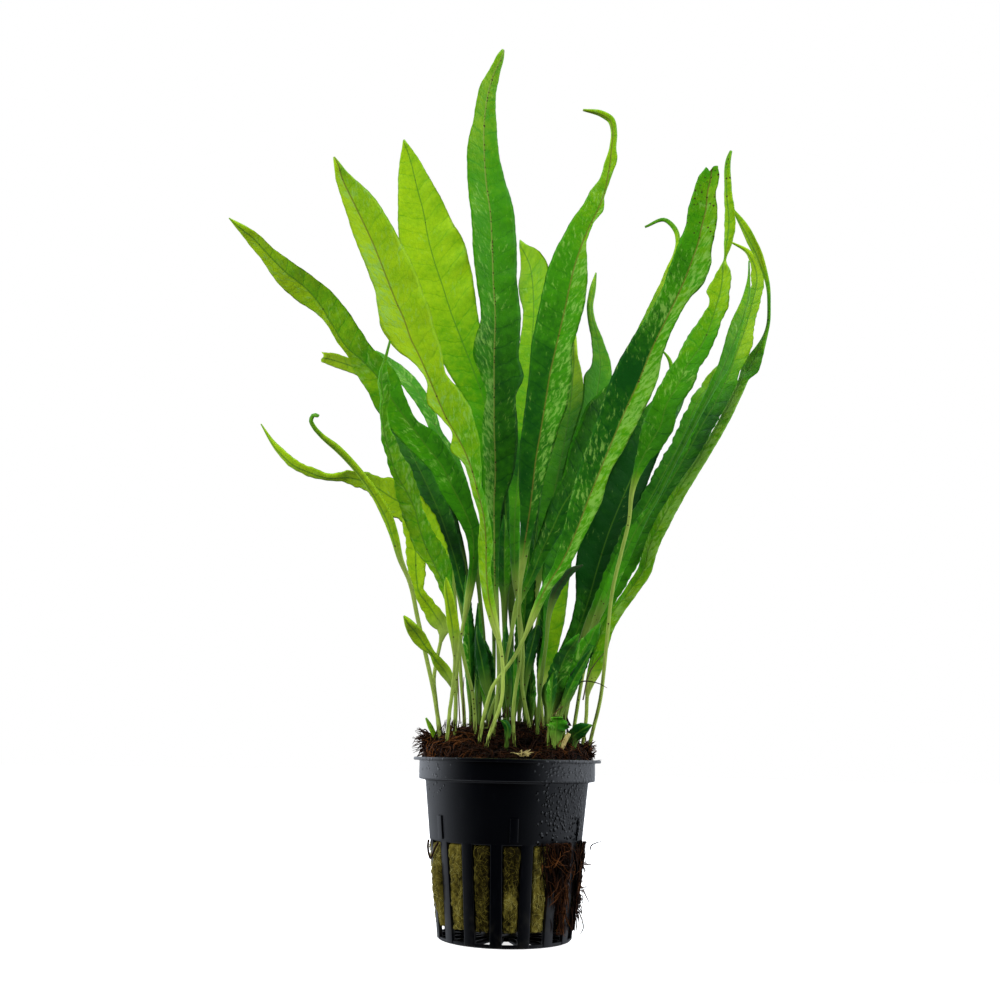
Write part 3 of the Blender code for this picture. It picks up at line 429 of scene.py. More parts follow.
# %% Frond finishes
def make_frond_finish(name, vein_darkness, rib_dots, **tints):
    material, tree, shader = new_material(name)
    tissue = place_group(tree, TISSUE, vein_darkness=vein_darkness, rib_dots=rib_dots,
                         **{key: (*value, 1.0) for key, value in tints.items()})
    fill(shader, {"Base Color": tissue["Color"], "Roughness": tissue["Roughness"], "Specular IOR Level": 0.20,
                  "Normal": bumped(tissue["Height"], 0.55, 0.35 * MM)})
    return material


FINISHES = {
    "brown": make_frond_finish("frond, brown midrib", 0.30, 0.10, rib=(0.120, 0.110, 0.016)),
    "yellow": make_frond_finish("frond, yellow midrib", 0.35, 0.45, rib=(0.190, 0.250, 0.040)),
    "green": make_frond_finish("frond, green midrib", 0.40, 0.02, rib=(0.060, 0.180, 0.010)),
    "wilted": make_frond_finish("frond, wilted", 0.30, 0.0, rib=(0.02, 0.02, 0.01), deep=(0.004, 0.020, 0.004),
                                middle=(0.014, 0.050, 0.008), lime=(0.04, 0.09, 0.015)),
}
print("frond finishes:", ", ".join(FINISHES))

# %% [markdown]
# ## The fronds, the roots and the stubs by name
#
# Each frond is one stalk with its blade, and no two are alike, so no loop can draw them. They could be
# sculpted one by one, but places and widths in a table are easier to read and to change. The roots and
# the stubs that show singly are noted in the same way. The solid model has the same measures, so every
# piece stands where its solid does.

# %% The measures
# A frond's depths are in millimetres behind the pot's axis, at its foot and at its tip. Its turns are
# degrees about its own midrib, at the foot and at the tip. petiole is a list of (column, row), and
# blade one of (column, row, left half width, right half width), both from the foot upwards. Where a
# blade is as wide on the right as on the left, the width is noted once.
Frond = namedtuple("Frond", "name depths turns tint petiole blade")

FRONDS = [
    Frond("frond_left_front_leaning", (-4, -38), (0, 24), "green",
          [(455, 718), (456, 693), (458, 655), (463, 626)],
          [(469, 594, 4), (474, 556, 5), (472, 530, 8), (463, 507, 11), (452, 486, 13, 16), (442, 466, 12, 14),
           (426, 445, 15, 16), (410, 424, 18, 8), (394, 402, 19, 13), (381, 381, 17), (365, 363, 14, 16),
           (347, 347, 5, 21), (331, 322, 5, 20), (317, 300, 12, 16), (305, 287, 16, 13), (287, 273, 14, 12),
           (269, 255, 9, 8), (251, 236, 7, 6), (229, 218, 0.5)]),
    Frond("frond_left_thin_tipped", (-11, -46), (0, 38), "green",
          [(477, 716), (472, 690), (466, 668), (460, 640)],
          [(453, 612, 4), (445, 588, 5, 8), (435, 565, 6, 16), (427, 549, 11, 15), (420, 529, 12, 11),
           (415, 509, 14, 8), (406, 490, 11, 12), (396, 472, 5, 15), (390, 452, 5, 10), (386, 436, 5, 8),
           (385, 424, 4), (383, 409, 3, 4), (385, 397, 5), (383, 384, 5, 7), (383, 372, 3.5, 4.5), (385, 361, 1.5),
           (390, 341, 1)]),
    Frond("frond_left_dark_behind", (8, 26), (-15, -40), "dark",
          [(478, 725), (478, 678), (476, 647)],
          [(470, 620, 3), (463, 595, 5), (457, 568, 7, 8), (449, 541, 9, 10), (440, 515, 11, 12), (429, 490, 13),
           (416, 463, 13), (403, 437, 10), (392, 412, 6), (384, 395, 0.5)]),
    Frond("frond_left_low_reaching", (3, 6), (0, 45), "light",
          [(466, 722), (463, 700), (459, 650), (456, 615)],
          [(452, 585, 3.5), (443, 555, 6), (430, 530, 11), (413, 511, 16), (388, 495, 16, 17), (376, 487, 10, 11),
           (363, 481, 8, 9), (351, 478, 7, 8), (340, 477, 4.5), (329, 477, 3.5), (311, 472, 5), (294, 464, 4.5),
           (285, 456, 4), (274, 444, 2.2), (261, 424, 0.5)]),
    Frond("frond_left_hooked_tip", (-7, -44), (30, 50), "green",
          [(443, 744), (439, 724), (434, 693), (426, 656), (418, 620), (409, 580)],
          [(401, 561, 2.5), (394, 535, 4), (388, 518, 5), (381, 504, 4.5), (372, 489, 3.5), (356, 468, 3),
           (338, 449, 3), (320, 434, 2), (314, 427, 1.8), (311, 420, 1.7), (314, 415, 1.7), (318, 416, 1.4)]),
    Frond("frond_left_low_light", (-2, -16), (0, 38), "light",
          [(441, 741), (436, 701), (434, 678), (437, 659), (441, 640)],
          [(443, 630, 6, 7), (436, 616, 10, 8), (428, 604, 8, 6), (420, 592, 6, 5), (417, 578, 7, 8), (416, 560, 10),
           (416, 545, 10, 11), (412, 528, 9), (406, 512, 4), (402, 503, 0.5)]),
    Frond("frond_left_broken", (-10, -26), (0, 30), "light",
          [(455, 722), (456, 705), (455, 692)],
          [(451, 683, 3), (445, 671, 6), (438, 662, 5.5), (432, 653, 3), (426, 646, 6, 5), (418, 635, 8, 6.5),
           (411, 625, 6, 4.5), (404, 616, 1)]),
    Frond("frond_left_short_bright", (-14, -30), (0, 35), "light",
          [(447, 721), (450, 708), (453, 685), (455, 662)],
          [(455, 645, 4), (453, 625, 6), (450, 605, 5, 5.5), (448, 590, 4, 3.5), (446, 577, 0.5)]),
    Frond("frond_left_blunt_behind", (13, 44), (10, 42), "light",
          [(472, 722), (471, 700), (468, 665), (464, 625)],
          [(459, 590, 3.5), (452, 550, 6), (441, 510, 9), (428, 472, 11), (414, 440, 11), (399, 412, 10),
           (380, 386, 8), (358, 369, 6.5), (340, 362, 7), (321, 357, 5)]),
    Frond("frond_left_slim_behind", (10, 16), (-20, -50), "green",
          [(490, 722), (489, 700), (486, 670), (483, 630), (479, 590)],
          [(474, 548, 4.5), (468, 510, 6), (460, 478, 6), (450, 452, 5.5), (438, 434, 6, 5), (430, 414, 7, 6),
           (420, 396, 8, 7), (409, 382, 7.5), (397, 370, 7), (386, 360, 4), (376, 351, 0.6)]),
    Frond("frond_front_pale", (-17, -52), (0, -24), "light",
          [(484, 744), (493, 725), (501, 703), (503, 678), (501, 650)],
          [(495, 625, 4.5, 4), (489, 600, 5.5), (486, 570, 7, 5), (486, 545, 8, 7), (483, 515, 4, 6),
           (477, 491, 5, 6), (470, 465, 5, 12), (462, 446, 12, 19), (453, 430, 2, 24), (446, 418, 4, 27),
           (438, 400, 11, 24), (429, 379, 3, 18), (419, 356, 10, 24), (411, 340, 19, 26), (404, 320, 24, 28),
           (396, 302, 19, 29), (388, 282, 15, 30), (373, 244, 15, 26), (354, 204, 10, 21), (342, 179, 6, 10),
           (334, 157, 1)]),
    Frond("frond_broad_lime", (12, 16), (0, 16), "light",
          [(500, 722), (499, 680), (498, 640), (497, 600)],
          [(495, 560, 4), (493, 520, 6), (491, 480, 9), (489, 440, 13), (484, 400, 17), (476, 377, 22, 20),
           (461, 338, 28, 22), (452, 315, 30, 27), (442, 284, 28, 32), (434, 260, 30, 34), (428, 237, 29, 28),
           (424, 214, 27, 22), (417, 187, 20, 15), (411, 162, 13, 8), (404, 140, 1)]),
    Frond("frond_tallest", (-9, -20), (0, -28), "green",
          [(493, 738), (497, 700), (499, 665), (497, 630)],
          [(495, 600, 3.5), (494, 565, 5), (494, 530, 6), (494, 497, 9, 11), (495, 479, 10, 17), (495, 460, 12, 21),
           (494, 430, 12, 24), (494, 396, 8, 22), (494, 375, 14, 30), (494, 355, 21, 25), (495, 317, 14, 26),
           (493, 279, 17, 24), (492, 250, 19, 25), (490, 212, 19, 24), (486, 183, 18, 20), (484, 152, 16.5, 15),
           (484, 122, 10.5, 13), (488, 93, 9.5, 8.5), (494, 72, 5, 6.5), (500, 58, 4), (503, 50, 1.5)]),
    Frond("frond_behind_tallest", (-5, 22), (0, 42), "light",
          [(533, 745), (529, 724), (525, 705), (522, 685), (523, 660), (522, 635), (519, 610)],
          [(516, 580, 4), (515, 550, 5), (516, 505, 7, 5), (518, 480, 10, 8), (521, 450, 14), (525, 415, 16),
           (529, 380, 17), (532, 345, 13, 17), (534, 310, 11, 17), (533, 285, 15, 17), (530, 265, 12, 14),
           (524, 251, 5, 6), (520, 240, 0.5)]),
    Frond("frond_whip_tipped", (-13, -30), (0, 28), "green",
          [(515, 744), (513, 716), (515, 693), (519, 668), (520, 645), (519, 620), (520, 590)],
          [(523, 560, 4), (526, 537, 6), (530, 510, 10, 8), (533, 485, 14, 10), (536, 459, 17, 14),
           (541, 430, 19, 17), (546, 400, 20, 22), (550, 375, 21, 22), (556, 348, 25, 16), (566, 305, 26, 18),
           (571, 281, 26, 16), (577, 259, 24, 10), (584, 240, 21, 3), (591, 224, 19, 2), (598, 210, 16, 5),
           (604, 195, 15, 1), (608, 180, 9, 2), (611, 161, 6), (613, 146, 3.3), (614, 132, 3), (611, 120, 3.5),
           (602, 114, 3), (583, 110, 1)]),
    Frond("frond_behind_whip_tipped", (9, 48), (0, 40), "light",
          [(528, 722), (528, 690), (529, 660), (532, 620)],
          [(537, 580, 5), (544, 545, 8), (551, 510, 12), (558, 475, 15), (565, 440, 16), (570, 410, 14),
           (573, 380, 9), (575, 350, 5, 2), (574, 318, 0.5)]),
    Frond("frond_centre_spear", (6, 34), (0, -38), "green",
          [(538, 722), (535, 708), (533, 693), (532, 670), (534, 642), (540, 612)],
          [(547, 580, 4), (556, 545, 6), (566, 505, 9), (576, 468, 12), (586, 435, 13), (594, 408, 13),
           (598, 385, 15, 14), (600, 368, 8.5, 12), (597, 340, 5.5, 6), (591, 318, 3.3, 3.5), (590, 305, 3),
           (592, 293, 3), (596, 273, 0.7)]),
    Frond("frond_right_torn_tip", (-14, -46), (0, 20), "green",
          [(478, 728), (487, 704), (493, 686), (502, 674), (513, 659), (524, 638)],
          [(533, 616, 3.5, 4), (545, 590, 4.5, 5), (561, 564, 7, 8), (578, 527, 14, 10), (589, 498, 18, 13),
           (600, 471, 21, 10), (612, 442, 22, 14), (623, 416, 24, 16), (639, 381, 27, 17), (652, 349, 23, 12),
           (666, 320, 18, 10), (678, 295, 17, 12), (686, 277, 19), (692, 261, 19), (698, 244, 19, 14),
           (702, 226, 16, 14), (706, 210, 18, 11), (708, 191, 14, 8), (711, 178, 13, 8), (712, 166.5, 6)]),
    Frond("frond_behind_torn_tip", (-6, -22), (0, -34), "green",
          [(483, 730), (493, 705), (501, 685), (506, 660), (511, 635)],
          [(518, 603, 3.5), (530, 578, 5), (543, 548, 8), (553, 527, 11, 10), (562, 507, 13, 12), (580, 480, 18, 12),
           (592, 458, 25, 12), (600, 442, 26, 10), (609, 420, 26, 9), (617, 400, 18, 8), (624, 384, 10, 4),
           (630, 372, 1)]),
    Frond("frond_right_pinched", (-2, -22), (0, 35), "green",
          [(588, 748), (594, 726), (600, 701), (604, 670), (607, 640), (613, 588), (622, 550), (629, 521)],
          [(632, 492, 2.6), (641, 462, 6, 7), (650, 444, 12), (660, 427, 18, 13), (667, 404, 15, 11),
           (679, 383, 16, 14), (688, 364, 13, 12), (702, 345, 17, 10), (711, 324, 13, 9), (717, 305, 8, 11),
           (721, 291, 14, 8.5), (723, 275, 8), (725, 259, 1.2), (728, 244, 3.8), (730, 224, 5.5), (728, 189, 3.5),
           (729, 157, 2), (731, 151, 1.2)]),
    Frond("frond_right_whip_loop", (1, -8), (0, 45), "light",
          [(580, 751), (586, 720), (587, 698)],
          [(588, 684, 2.6, 6), (591, 668, 3, 11), (595, 650, 3, 12), (604, 627, 3, 10), (630, 590, 5, 8),
           (643, 571, 6, 8), (650, 545, 5, 9), (658, 528, 6, 9), (677, 494, 5, 8), (700, 458, 3, 7), (721, 422, 3, 7),
           (738, 389, 3, 6), (743, 378, 4, 6), (749, 369, 7, 9), (755, 358, 7), (759, 350, 5), (764, 339, 2.5),
           (768, 325, 1.6), (769, 305, 1.5), (768, 286, 1.8), (764, 270, 2.5), (758, 254, 4), (751, 240, 4.5),
           (745, 228, 3.5), (732, 208, 0.7)]),
    Frond("frond_right_yellow_green", (9, 30), (0, 34), "light",
          [(570, 748), (576, 715), (580, 690), (585, 665)],
          [(593, 640, 3), (604, 612, 5), (617, 585, 8), (630, 558, 10), (643, 530, 12), (658, 503, 13),
           (674, 476, 15, 14), (690, 448, 16, 13), (704, 422, 14, 11), (716, 402, 11), (724, 386, 8, 11),
           (730, 372, 7, 9), (735, 358, 9, 12), (741, 342, 10, 11), (747, 324, 9, 7), (752, 306, 4, 7), (757, 275, 6),
           (754, 262, 4, 5), (749, 253, 2.5), (731, 242, 0.7)]),
    Frond("frond_right_slim", (-2, 4), (0, -45), "green",
          [(560, 747), (566, 715), (571, 690), (577, 668), (586, 645)],
          [(598, 615, 4), (611, 585, 6), (624, 555, 7), (637, 528, 6), (652, 505, 3), (679, 452, 2.5), (698, 415, 3),
           (713, 386, 4), (725, 362, 6), (731, 348, 8, 5), (737, 332, 9, 4), (742, 316, 7, 3), (746, 300, 4, 3),
           (749, 275, 1), (749, 261, 0.6)]),
    Frond("frond_right_lobed", (4, 14), (0, 35), "green",
          [(552, 746), (558, 712), (566, 685), (576, 655)],
          [(588, 625, 4), (602, 595, 6), (616, 565, 8), (630, 535, 9), (655, 490, 9), (668, 466, 9), (680, 443, 8, 9),
           (688, 424, 8, 9), (695, 408, 7), (701, 396, 7, 4), (708, 388, 7, 6), (711, 380, 6, 7), (718, 366, 0.7)]),
    Frond("frond_right_curled_tip", (1, 16), (0, -34), "green",
          [(544, 725), (541, 705), (539, 690)],
          [(540, 678, 3, 9), (542, 660, 3, 13), (546, 640, 4, 14), (549, 610, 6, 17), (554, 575, 12, 16),
           (562, 540, 14), (574, 505, 13), (588, 470, 13), (603, 435, 13), (618, 400, 12), (633, 365, 11),
           (647, 333, 10), (658, 308, 9), (666, 285, 6, 7), (671, 270, 5), (676, 255, 3), (678, 241, 2.2),
           (676, 231, 2.2), (665, 220, 1.8), (645, 227, 1)]),
    Frond("frond_right_dark_behind", (13, 36), (0, 30), "dark",
          [(549, 722), (552, 700)],
          [(558, 675, 6), (566, 655, 8, 7), (577, 632, 9), (588, 602, 13), (597, 570, 22, 16), (608, 535, 26, 18),
           (622, 500, 22, 17), (635, 470, 24, 16), (648, 440, 22, 14), (660, 412, 16, 10), (668, 390, 5, 6),
           (672, 372, 2.5), (669, 359, 1.6), (662, 350, 0.6)]),
    Frond("frond_back_centre", (12, 62), (0, 40), "dark",
          [(512, 722), (512, 680), (512, 640)],
          [(510, 580, 6), (507, 530, 11), (503, 470, 16), (500, 400, 17), (498, 320, 15), (495, 250, 11),
           (491, 205, 6), (490, 185, 0.8)]),
    Frond("frond_back_left", (18, 34), (0, -48), "dark",
          [(493, 715), (494, 650), (493, 600)],
          [(491, 550, 6), (488, 500, 12), (484, 450, 15), (474, 400, 15), (461, 340, 13), (445, 280, 10),
           (432, 235, 6), (424, 210, 0.8)]),
    Frond("frond_back_right", (14, 68), (0, -35), "dark",
          [(526, 720), (525, 670), (527, 620)],
          [(531, 570, 8), (538, 520, 14), (545, 460, 16), (552, 400, 15), (562, 345, 12), (573, 295, 8),
           (583, 250, 0.8)]),
    Frond("frond_back_far_right", (17, 48), (0, 46), "dark",
          [(543, 720), (541, 680), (545, 630)],
          [(553, 580, 7), (567, 530, 12), (585, 480, 15), (606, 430, 17), (628, 380, 15), (650, 330, 12),
           (672, 280, 8), (688, 235, 0.8)]),
    Frond("frond_back_right_low", (12, 62), (0, -45), "dark",
          [(560, 725), (566, 690), (575, 650)],
          [(588, 600, 8), (608, 545, 13), (628, 490, 15), (650, 440, 14), (672, 400, 12), (690, 360, 7),
           (706, 325, 0.8)]),
    Frond("frond_back_far_left", (17, 58), (0, 38), "dark",
          [(478, 710), (475, 660), (470, 610)],
          [(460, 560, 7), (445, 515, 11), (425, 470, 13), (405, 430, 14), (385, 395, 11), (365, 362, 7),
           (350, 338, 0.8)]),
    Frond("young_frond_right", (-8, -16), (0, 35), "green",
          [(563, 722), (565, 708)],
          [(567, 700, 4), (574, 676, 8), (583, 653, 9), (593, 636, 6), (600, 623, 0.6)]),
    Frond("young_frond_right_low", (-12, -22), (0, -35), "green",
          [(556, 726), (554, 716)],
          [(553, 707, 6), (556, 684, 10), (563, 662, 10, 9), (571, 646, 6), (579, 634, 0.6)]),
    Frond("young_frond_centre", (-1, 3), (0, 40), "dark",
          [(487, 726), (489, 703)],
          [(486, 682, 6), (482, 660, 6.5), (479, 641, 4), (477, 626, 0.6)]),
    Frond("young_frond_middle", (0, 6), (0, 30), "dark",
          [(527, 730), (524, 700)],
          [(527, 672, 4), (531, 652, 6), (535, 636, 6), (538, 626, 2)]),
    Frond("young_frond_dark_middle", (-4, -2), (0, 30), "dark",
          [(508, 726), (508, 706)],
          [(508, 692, 4), (507, 670, 4, 4.5), (505, 650, 3), (504, 632, 0.6)]),
    Frond("frond_wilted", (-9, -5), (0, 20), "wilted",
          [(537, 728), (540, 690), (546, 645)],
          [(550, 610, 3), (555, 594, 4.5), (563, 581, 5, 4), (572, 571, 4, 3), (583, 565, 0.8)]),
    Frond("sprout_left", (-5, -7), (0, 0), "light",
          [(437, 748)],
          [(436, 740, 2.4), (431, 728, 2.6), (426, 718, 1)]),
    Frond("sprout_left_small", (0, 0), (0, 0), "light",
          [(431, 753)],
          [(431, 742, 2.4), (431, 736, 1)]),
    Frond("leaflet_middle", (-16, -18), (0, 0), "dark",
          [(506, 738)],
          [(508, 731, 3.5), (506, 724, 3.5), (501, 720, 0.8)]),
    Frond("leaflet_crumpled", (-16, -17), (0, 0), "green",
          [(556, 740)],
          [(556, 731, 7, 8), (557, 724, 9, 11), (557, 717, 5, 6)]),
    Frond("leaflet_pointed", (-11, -13), (0, 0), "dark",
          [(570, 745)],
          [(573, 737, 6, 7), (580, 731, 8, 7), (587, 727, 4), (592, 725, 0.6)]),
]

# Cut stubs of old petioles: where the foot stands and where the top points, in the same frame
CutStub = namedtuple("CutStub", "name column row depth top_column top_row radius length")
CUT_STUBS = [
    CutStub("cut_stub_tall", 553, 722, -5, 556, 697, 0.65 * MM, 7.0 * MM),
    CutStub("cut_stub_front", 562, 751, -16, 567, 737, 0.75 * MM, 4.2 * MM),
]

# Single roots that stand clear of the pot, as (column, row, depth in millimetres)
STRAY_ROOTS = {
    "root_stray_high": [(590, 850, -3), (591, 846, -3), (596, 843, -4), (603, 841, -5)],
    "root_stray_middle": [(583, 891, -12), (586, 896, -12), (588, 900, -12), (591, 906, -12)],
    "root_stray_low": [(579, 912, -12), (582, 920, -12), (583, 929, -11), (579, 936, -11)],
    "root_over_lip": [(578, 683, -7), (586, 681, -9), (593, 682, -10), (600, 684, -11),
                      (607, 688, -12)],
}

# Tufts of the root mat beside the mound: angle, and the radii outwards, sideways and up
TUFTS = {
    "root_tuft_left": (math.radians(-88), (2.0 * MM, 5.0 * MM, 3.8 * MM)),
    "root_tuft_right": (math.radians(84), (1.0 * MM, 3.6 * MM, 2.6 * MM)),
}
print(len(FRONDS), "fronds,", len(CUT_STUBS), "stubs,", len(STRAY_ROOTS), "single roots,", len(TUFTS), "tufts")

# %% [markdown]
# ## How each frond is coloured
#
# One plant shows many greens. Old blades are deep, new ones are lime, and most fade from a deep base to
# a bright tip. Part of that fade is painted shade, darker low down where newer fronds shade a blade. The
# tones of the two halves hold painted light too: the half of a folded blade that faces a side lamp is
# lighter. `LOOKS` notes, for each frond, its finish, how bright its stalk is, and a few rows of (row,
# tone on the left half, tone on the right half, painted sheen on the left, painted sheen on the right,
# spots). Tones run from 0, the deepest green, to 100, the brightest lime. A row with one tone has it on
# both halves.

# %% The frond looks
LOOKS = {
    "frond_left_front_leaning": ("green", 80, [(590, 35, 25, 10), (500, 35, 25, 20, 10), (420, 45, 35, 30, 10),
        (340, 82, 64, 40, 20), (280, 85, 66, 40, 20), (218, 95, 90, 30, 30)]),
    "frond_left_thin_tipped": ("green", 60, [(612, 60, 50, 30, 30), (545, 65, 55, 30, 40), (490, 60, 60, 35, 40),
        (450, 50, 55, 35, 40), (410, 50, 50, 35, 40), (370, 50, 50, 30, 40), (341, 50, 50, 20, 20)]),
    "frond_left_dark_behind": ("green", 25, [(620, 10), (540, 12), (480, 20), (440, 30), (395, 40)]),
    "frond_left_low_reaching": ("green", 70, [(590, 75, 70, 15, 15), (511, 80, 85, 30, 25), (490, 84, 80, 25, 25),
        (470, 88, 88, 20, 20), (424, 85)]),
    "frond_left_hooked_tip": ("green", 80, [(561, 75), (489, 85), (449, 85), (415, 55, 55, 0, 0, 15)]),
    "frond_left_low_light": ("green", 75, [(630, 85, 88, 15, 15), (503, 85, 88, 15, 15)]),
    "frond_left_broken": ("green", 70, [(683, 82, 88, 20, 25), (616, 88, 84, 30, 25)]),
    "frond_left_short_bright": ("green", 75, [(645, 88), (577, 90)]),
    "frond_left_blunt_behind": ("green", 20, [(590, 40), (480, 35, 30), (420, 40), (386, 60),
        (360, 95, 95, 10, 10), (357, 100)]),
    "frond_left_slim_behind": ("green", 15, [(548, 20), (450, 35, 35, 30, 30), (410, 40, 40, 45, 45),
        (351, 50, 50, 30, 30)]),
    "frond_front_pale": ("brown", 100, [(630, 80, 70, 20, 10), (545, 66, 55, 45, 35), (465, 66, 50, 55, 45),
        (430, 76, 66, 40, 42), (400, 84, 72, 40, 36), (356, 92, 80, 45, 25), (320, 95, 82, 50, 25),
        (280, 95, 82, 50, 30), (240, 92, 80, 50, 30), (200, 90, 75, 40, 30), (157, 85, 70, 30, 20)]),
    "frond_broad_lime": ("green", 30, [(600, 30), (480, 35, 30), (440, 45, 40), (400, 50, 42), (360, 62, 55),
        (300, 79, 76, 5, 10), (240, 82, 80, 10), (140, 80, 78)]),
    "frond_tallest": ("yellow", 60, [(600, 30, 20, 30), (500, 30, 20, 50, 5), (460, 30, 18, 55, 5),
        (400, 30, 18, 60, 10), (350, 30, 22, 45, 15), (300, 38, 36, 36, 15), (250, 42, 38, 25, 15),
        (220, 45, 40, 15, 10), (180, 50, 45, 20, 10), (140, 62, 55, 15, 10), (90, 65, 60, 10, 10), (50, 70, 65)]),
    "frond_behind_tallest": ("green", 55, [(580, 15), (535, 30), (500, 50), (470, 12), (445, 15), (432, 60),
        (340, 65, 60), (285, 70, 70, 10, 10), (240, 75)]),
    "frond_whip_tipped": ("brown", 62, [(600, 10, 10, 0, 20), (540, 10, 15, 5, 30), (480, 12, 20, 5, 40),
        (430, 12, 30, 10, 45), (380, 15, 35, 10, 40), (330, 25, 40, 15, 40), (280, 35, 50, 20, 45),
        (240, 50, 60, 35, 40), (200, 60, 60, 40, 40), (170, 70, 70, 20, 20), (110, 75, 75, 10, 10)]),
    "frond_behind_whip_tipped": ("green", 40, [(600, 20), (480, 35, 30), (420, 50, 50, 30, 10), (380, 60, 80),
        (318, 85, 90)]),
    "frond_centre_spear": ("green", 50, [(620, 15), (500, 20), (435, 35), (400, 38), (360, 48, 52), (320, 60),
        (273, 70)]),
    "frond_right_torn_tip": ("brown", 80, [(640, 50, 50, 30, 20), (590, 35, 40, 30, 40), (540, 20, 45, 20, 60),
        (498, 20, 55, 45, 60), (450, 15, 50, 35, 65), (415, 10, 50, 25, 65), (381, 0, 50, 10, 65),
        (348, 10, 50, 30, 60), (320, 25, 45, 50, 50), (295, 35, 50, 50, 60), (260, 35, 50, 25, 45),
        (226, 50, 60, 15, 30, 25), (190, 55, 60, 10, 20, 35), (168, 50, 55, 10, 10, 20)]),
    "frond_behind_torn_tip": ("green", 50, [(603, 20, 20, 20, 20), (527, 20, 15, 15, 10), (480, 20, 12, 20, 5),
        (420, 20, 12, 10, 5), (372, 30, 20, 20, 10)]),
    "frond_right_pinched": ("green", 80, [(588, 70), (520, 65), (492, 60), (460, 30, 30, 10, 10),
        (430, 35, 30, 30, 10), (400, 40, 35, 30, 15), (364, 45, 40, 35, 20), (330, 55, 50, 30, 20),
        (300, 70, 72, 20, 30), (275, 75, 78, 10, 30), (240, 70), (200, 75), (151, 60, 60, 0, 0, 60)]),
    "frond_right_whip_loop": ("green", 85, [(700, 60, 60, 20, 20), (630, 50, 60, 20, 40), (590, 55, 65, 35, 60),
        (540, 55, 60, 45, 65), (458, 55, 60, 60, 75), (400, 58, 62, 60, 65), (370, 50, 50, 20, 20), (340, 55),
        (300, 50), (260, 82), (208, 72)]),
    "frond_right_yellow_green": ("green", 60, [(640, 50), (585, 35), (530, 25), (476, 20, 20, 10, 10), (420, 20),
        (402, 30), (372, 45, 60, 10), (342, 60, 80, 5), (306, 60, 70), (275, 80, 85), (242, 88)]),
    "frond_right_slim": ("green", 35, [(640, 50), (560, 30, 30, 20, 20), (500, 30), (440, 30), (386, 40),
        (362, 45), (332, 55, 50, 20, 10), (300, 60), (261, 50)]),
    "frond_right_lobed": ("green", 40, [(640, 40), (560, 25), (490, 20), (430, 35, 35, 20, 10), (396, 55),
        (380, 70), (366, 70)]),
    "frond_right_curled_tip": ("green", 75, [(690, 15, 50), (640, 30, 65), (610, 25, 65), (575, 25, 60),
        (540, 25, 30), (435, 20), (365, 40), (308, 68), (285, 80), (270, 80), (241, 75), (227, 55)]),
    "frond_right_dark_behind": ("green", 20, [(675, 30), (630, 25, 20), (570, 0), (500, 2, 0), (440, 8, 5),
        (390, 50), (350, 65)]),
    "young_frond_right": ("green", 30, [(700, 12, 10, 20, 10), (660, 30, 12, 35, 10), (623, 35, 30)]),
    "young_frond_right_low": ("green", 30, [(707, 8, 12, 10, 30), (670, 8, 25, 10, 35), (634, 30)]),
    "young_frond_centre": ("green", 10, [(682, 3), (626, 3)]),
    "young_frond_middle": ("green", 10, [(672, 3), (626, 3)]),
    "young_frond_dark_middle": ("green", 10, [(692, 3), (632, 3)]),
    "frond_wilted": ("wilted", 20, [(610, 30), (565, 30)]),
    "sprout_left": ("green", 70, [(740, 70), (718, 65)]),
    "sprout_left_small": ("green", 75, [(746, 75), (739, 70)]),
    "leaflet_middle": ("green", 10, [(731, 3), (720, 3)]),
    "leaflet_crumpled": ("green", 30, [(731, 45, 10, 50, 20), (717, 50, 35, 50, 30)]),
    "leaflet_pointed": ("green", 10, [(737, 3), (725, 3)]),
}
# Deep tones for the inner leaves: painted shade for the thick of the plant
INNER_SHADE_LOOKS = [("green", 20, [(705, 5, 20, 10, 30), (600, 10, 30, 10, 35)]),
               ("green", 30, [(705, 25, 8, 30, 10), (600, 30, 10, 35, 10)])]
BACK_LOOK = ("green", 10, [(600, 10, 12), (450, 15, 15, 10, 10), (300, 25), (200, 35)])
print(len(LOOKS), "looks for", len(FRONDS), "fronds")

# %% [markdown]
# ## Smooth curves through the stations
#
# A frond is noted as a handful of stations. The real one has no corners, so cubic pieces go through
# them. The midrib may swing freely between stations. A half width may not: it would bulge out where the
# blade is pinched, so its slope is held back, and it is flat at every highest and lowest station.

# %% Cubic curves
def slopes_through(knots, values, steady):
    steps = np.diff(values) / np.diff(knots)
    gaps = np.diff(knots)
    slopes = np.empty(len(values))
    slopes[0], slopes[-1] = steps[0], steps[-1]
    before, after = steps[:-1], steps[1:]
    slopes[1:-1] = (before * gaps[1:] + after * gaps[:-1]) / (gaps[1:] + gaps[:-1])
    if steady:
        limit = 2.0 * np.minimum(abs(before), abs(after)) * (before * after > 0)
        slopes[1:-1] = np.clip(slopes[1:-1], -limit, limit)
    return slopes


def curve_through(knots, values, at, steady=False):
    values = np.asarray(values, float)
    slopes = slopes_through(knots, values, steady)
    i = np.clip(np.searchsorted(knots, at, side="right") - 1, 0, len(knots) - 2)
    gap = knots[i + 1] - knots[i]
    t = (at - knots[i]) / gap
    return ((2 * t**3 - 3 * t**2 + 1) * values[i] + (t**3 - 2 * t**2 + t) * gap * slopes[i] + (3 * t**2 - 2 * t**3)
            * values[i + 1] + (t**3 - t**2) * gap * slopes[i + 1])


def ease(low, high, value):
    """0 below low, 1 above high, and a soft step between."""
    t = np.clip((value - low) / (high - low), 0.0, 1.0)
    return t * t * (3 - 2 * t)


print("halfway between 0, 1, 0:", curve_through(np.array([0.0, 1.0, 2.0]), [0, 1, 0], np.array([0.5]), True))

# %% [markdown]
# ## Rows along a frond
#
# A frond grows out of the rhizome as a thin stalk and widens into its blade. Its rows stand about a
# millimetre apart, closer than its stations. Its foot goes down into the heap of roots, which is a low
# dome with lumps. Its depth changes slowly at first and faster towards the tip, as a frond bends.

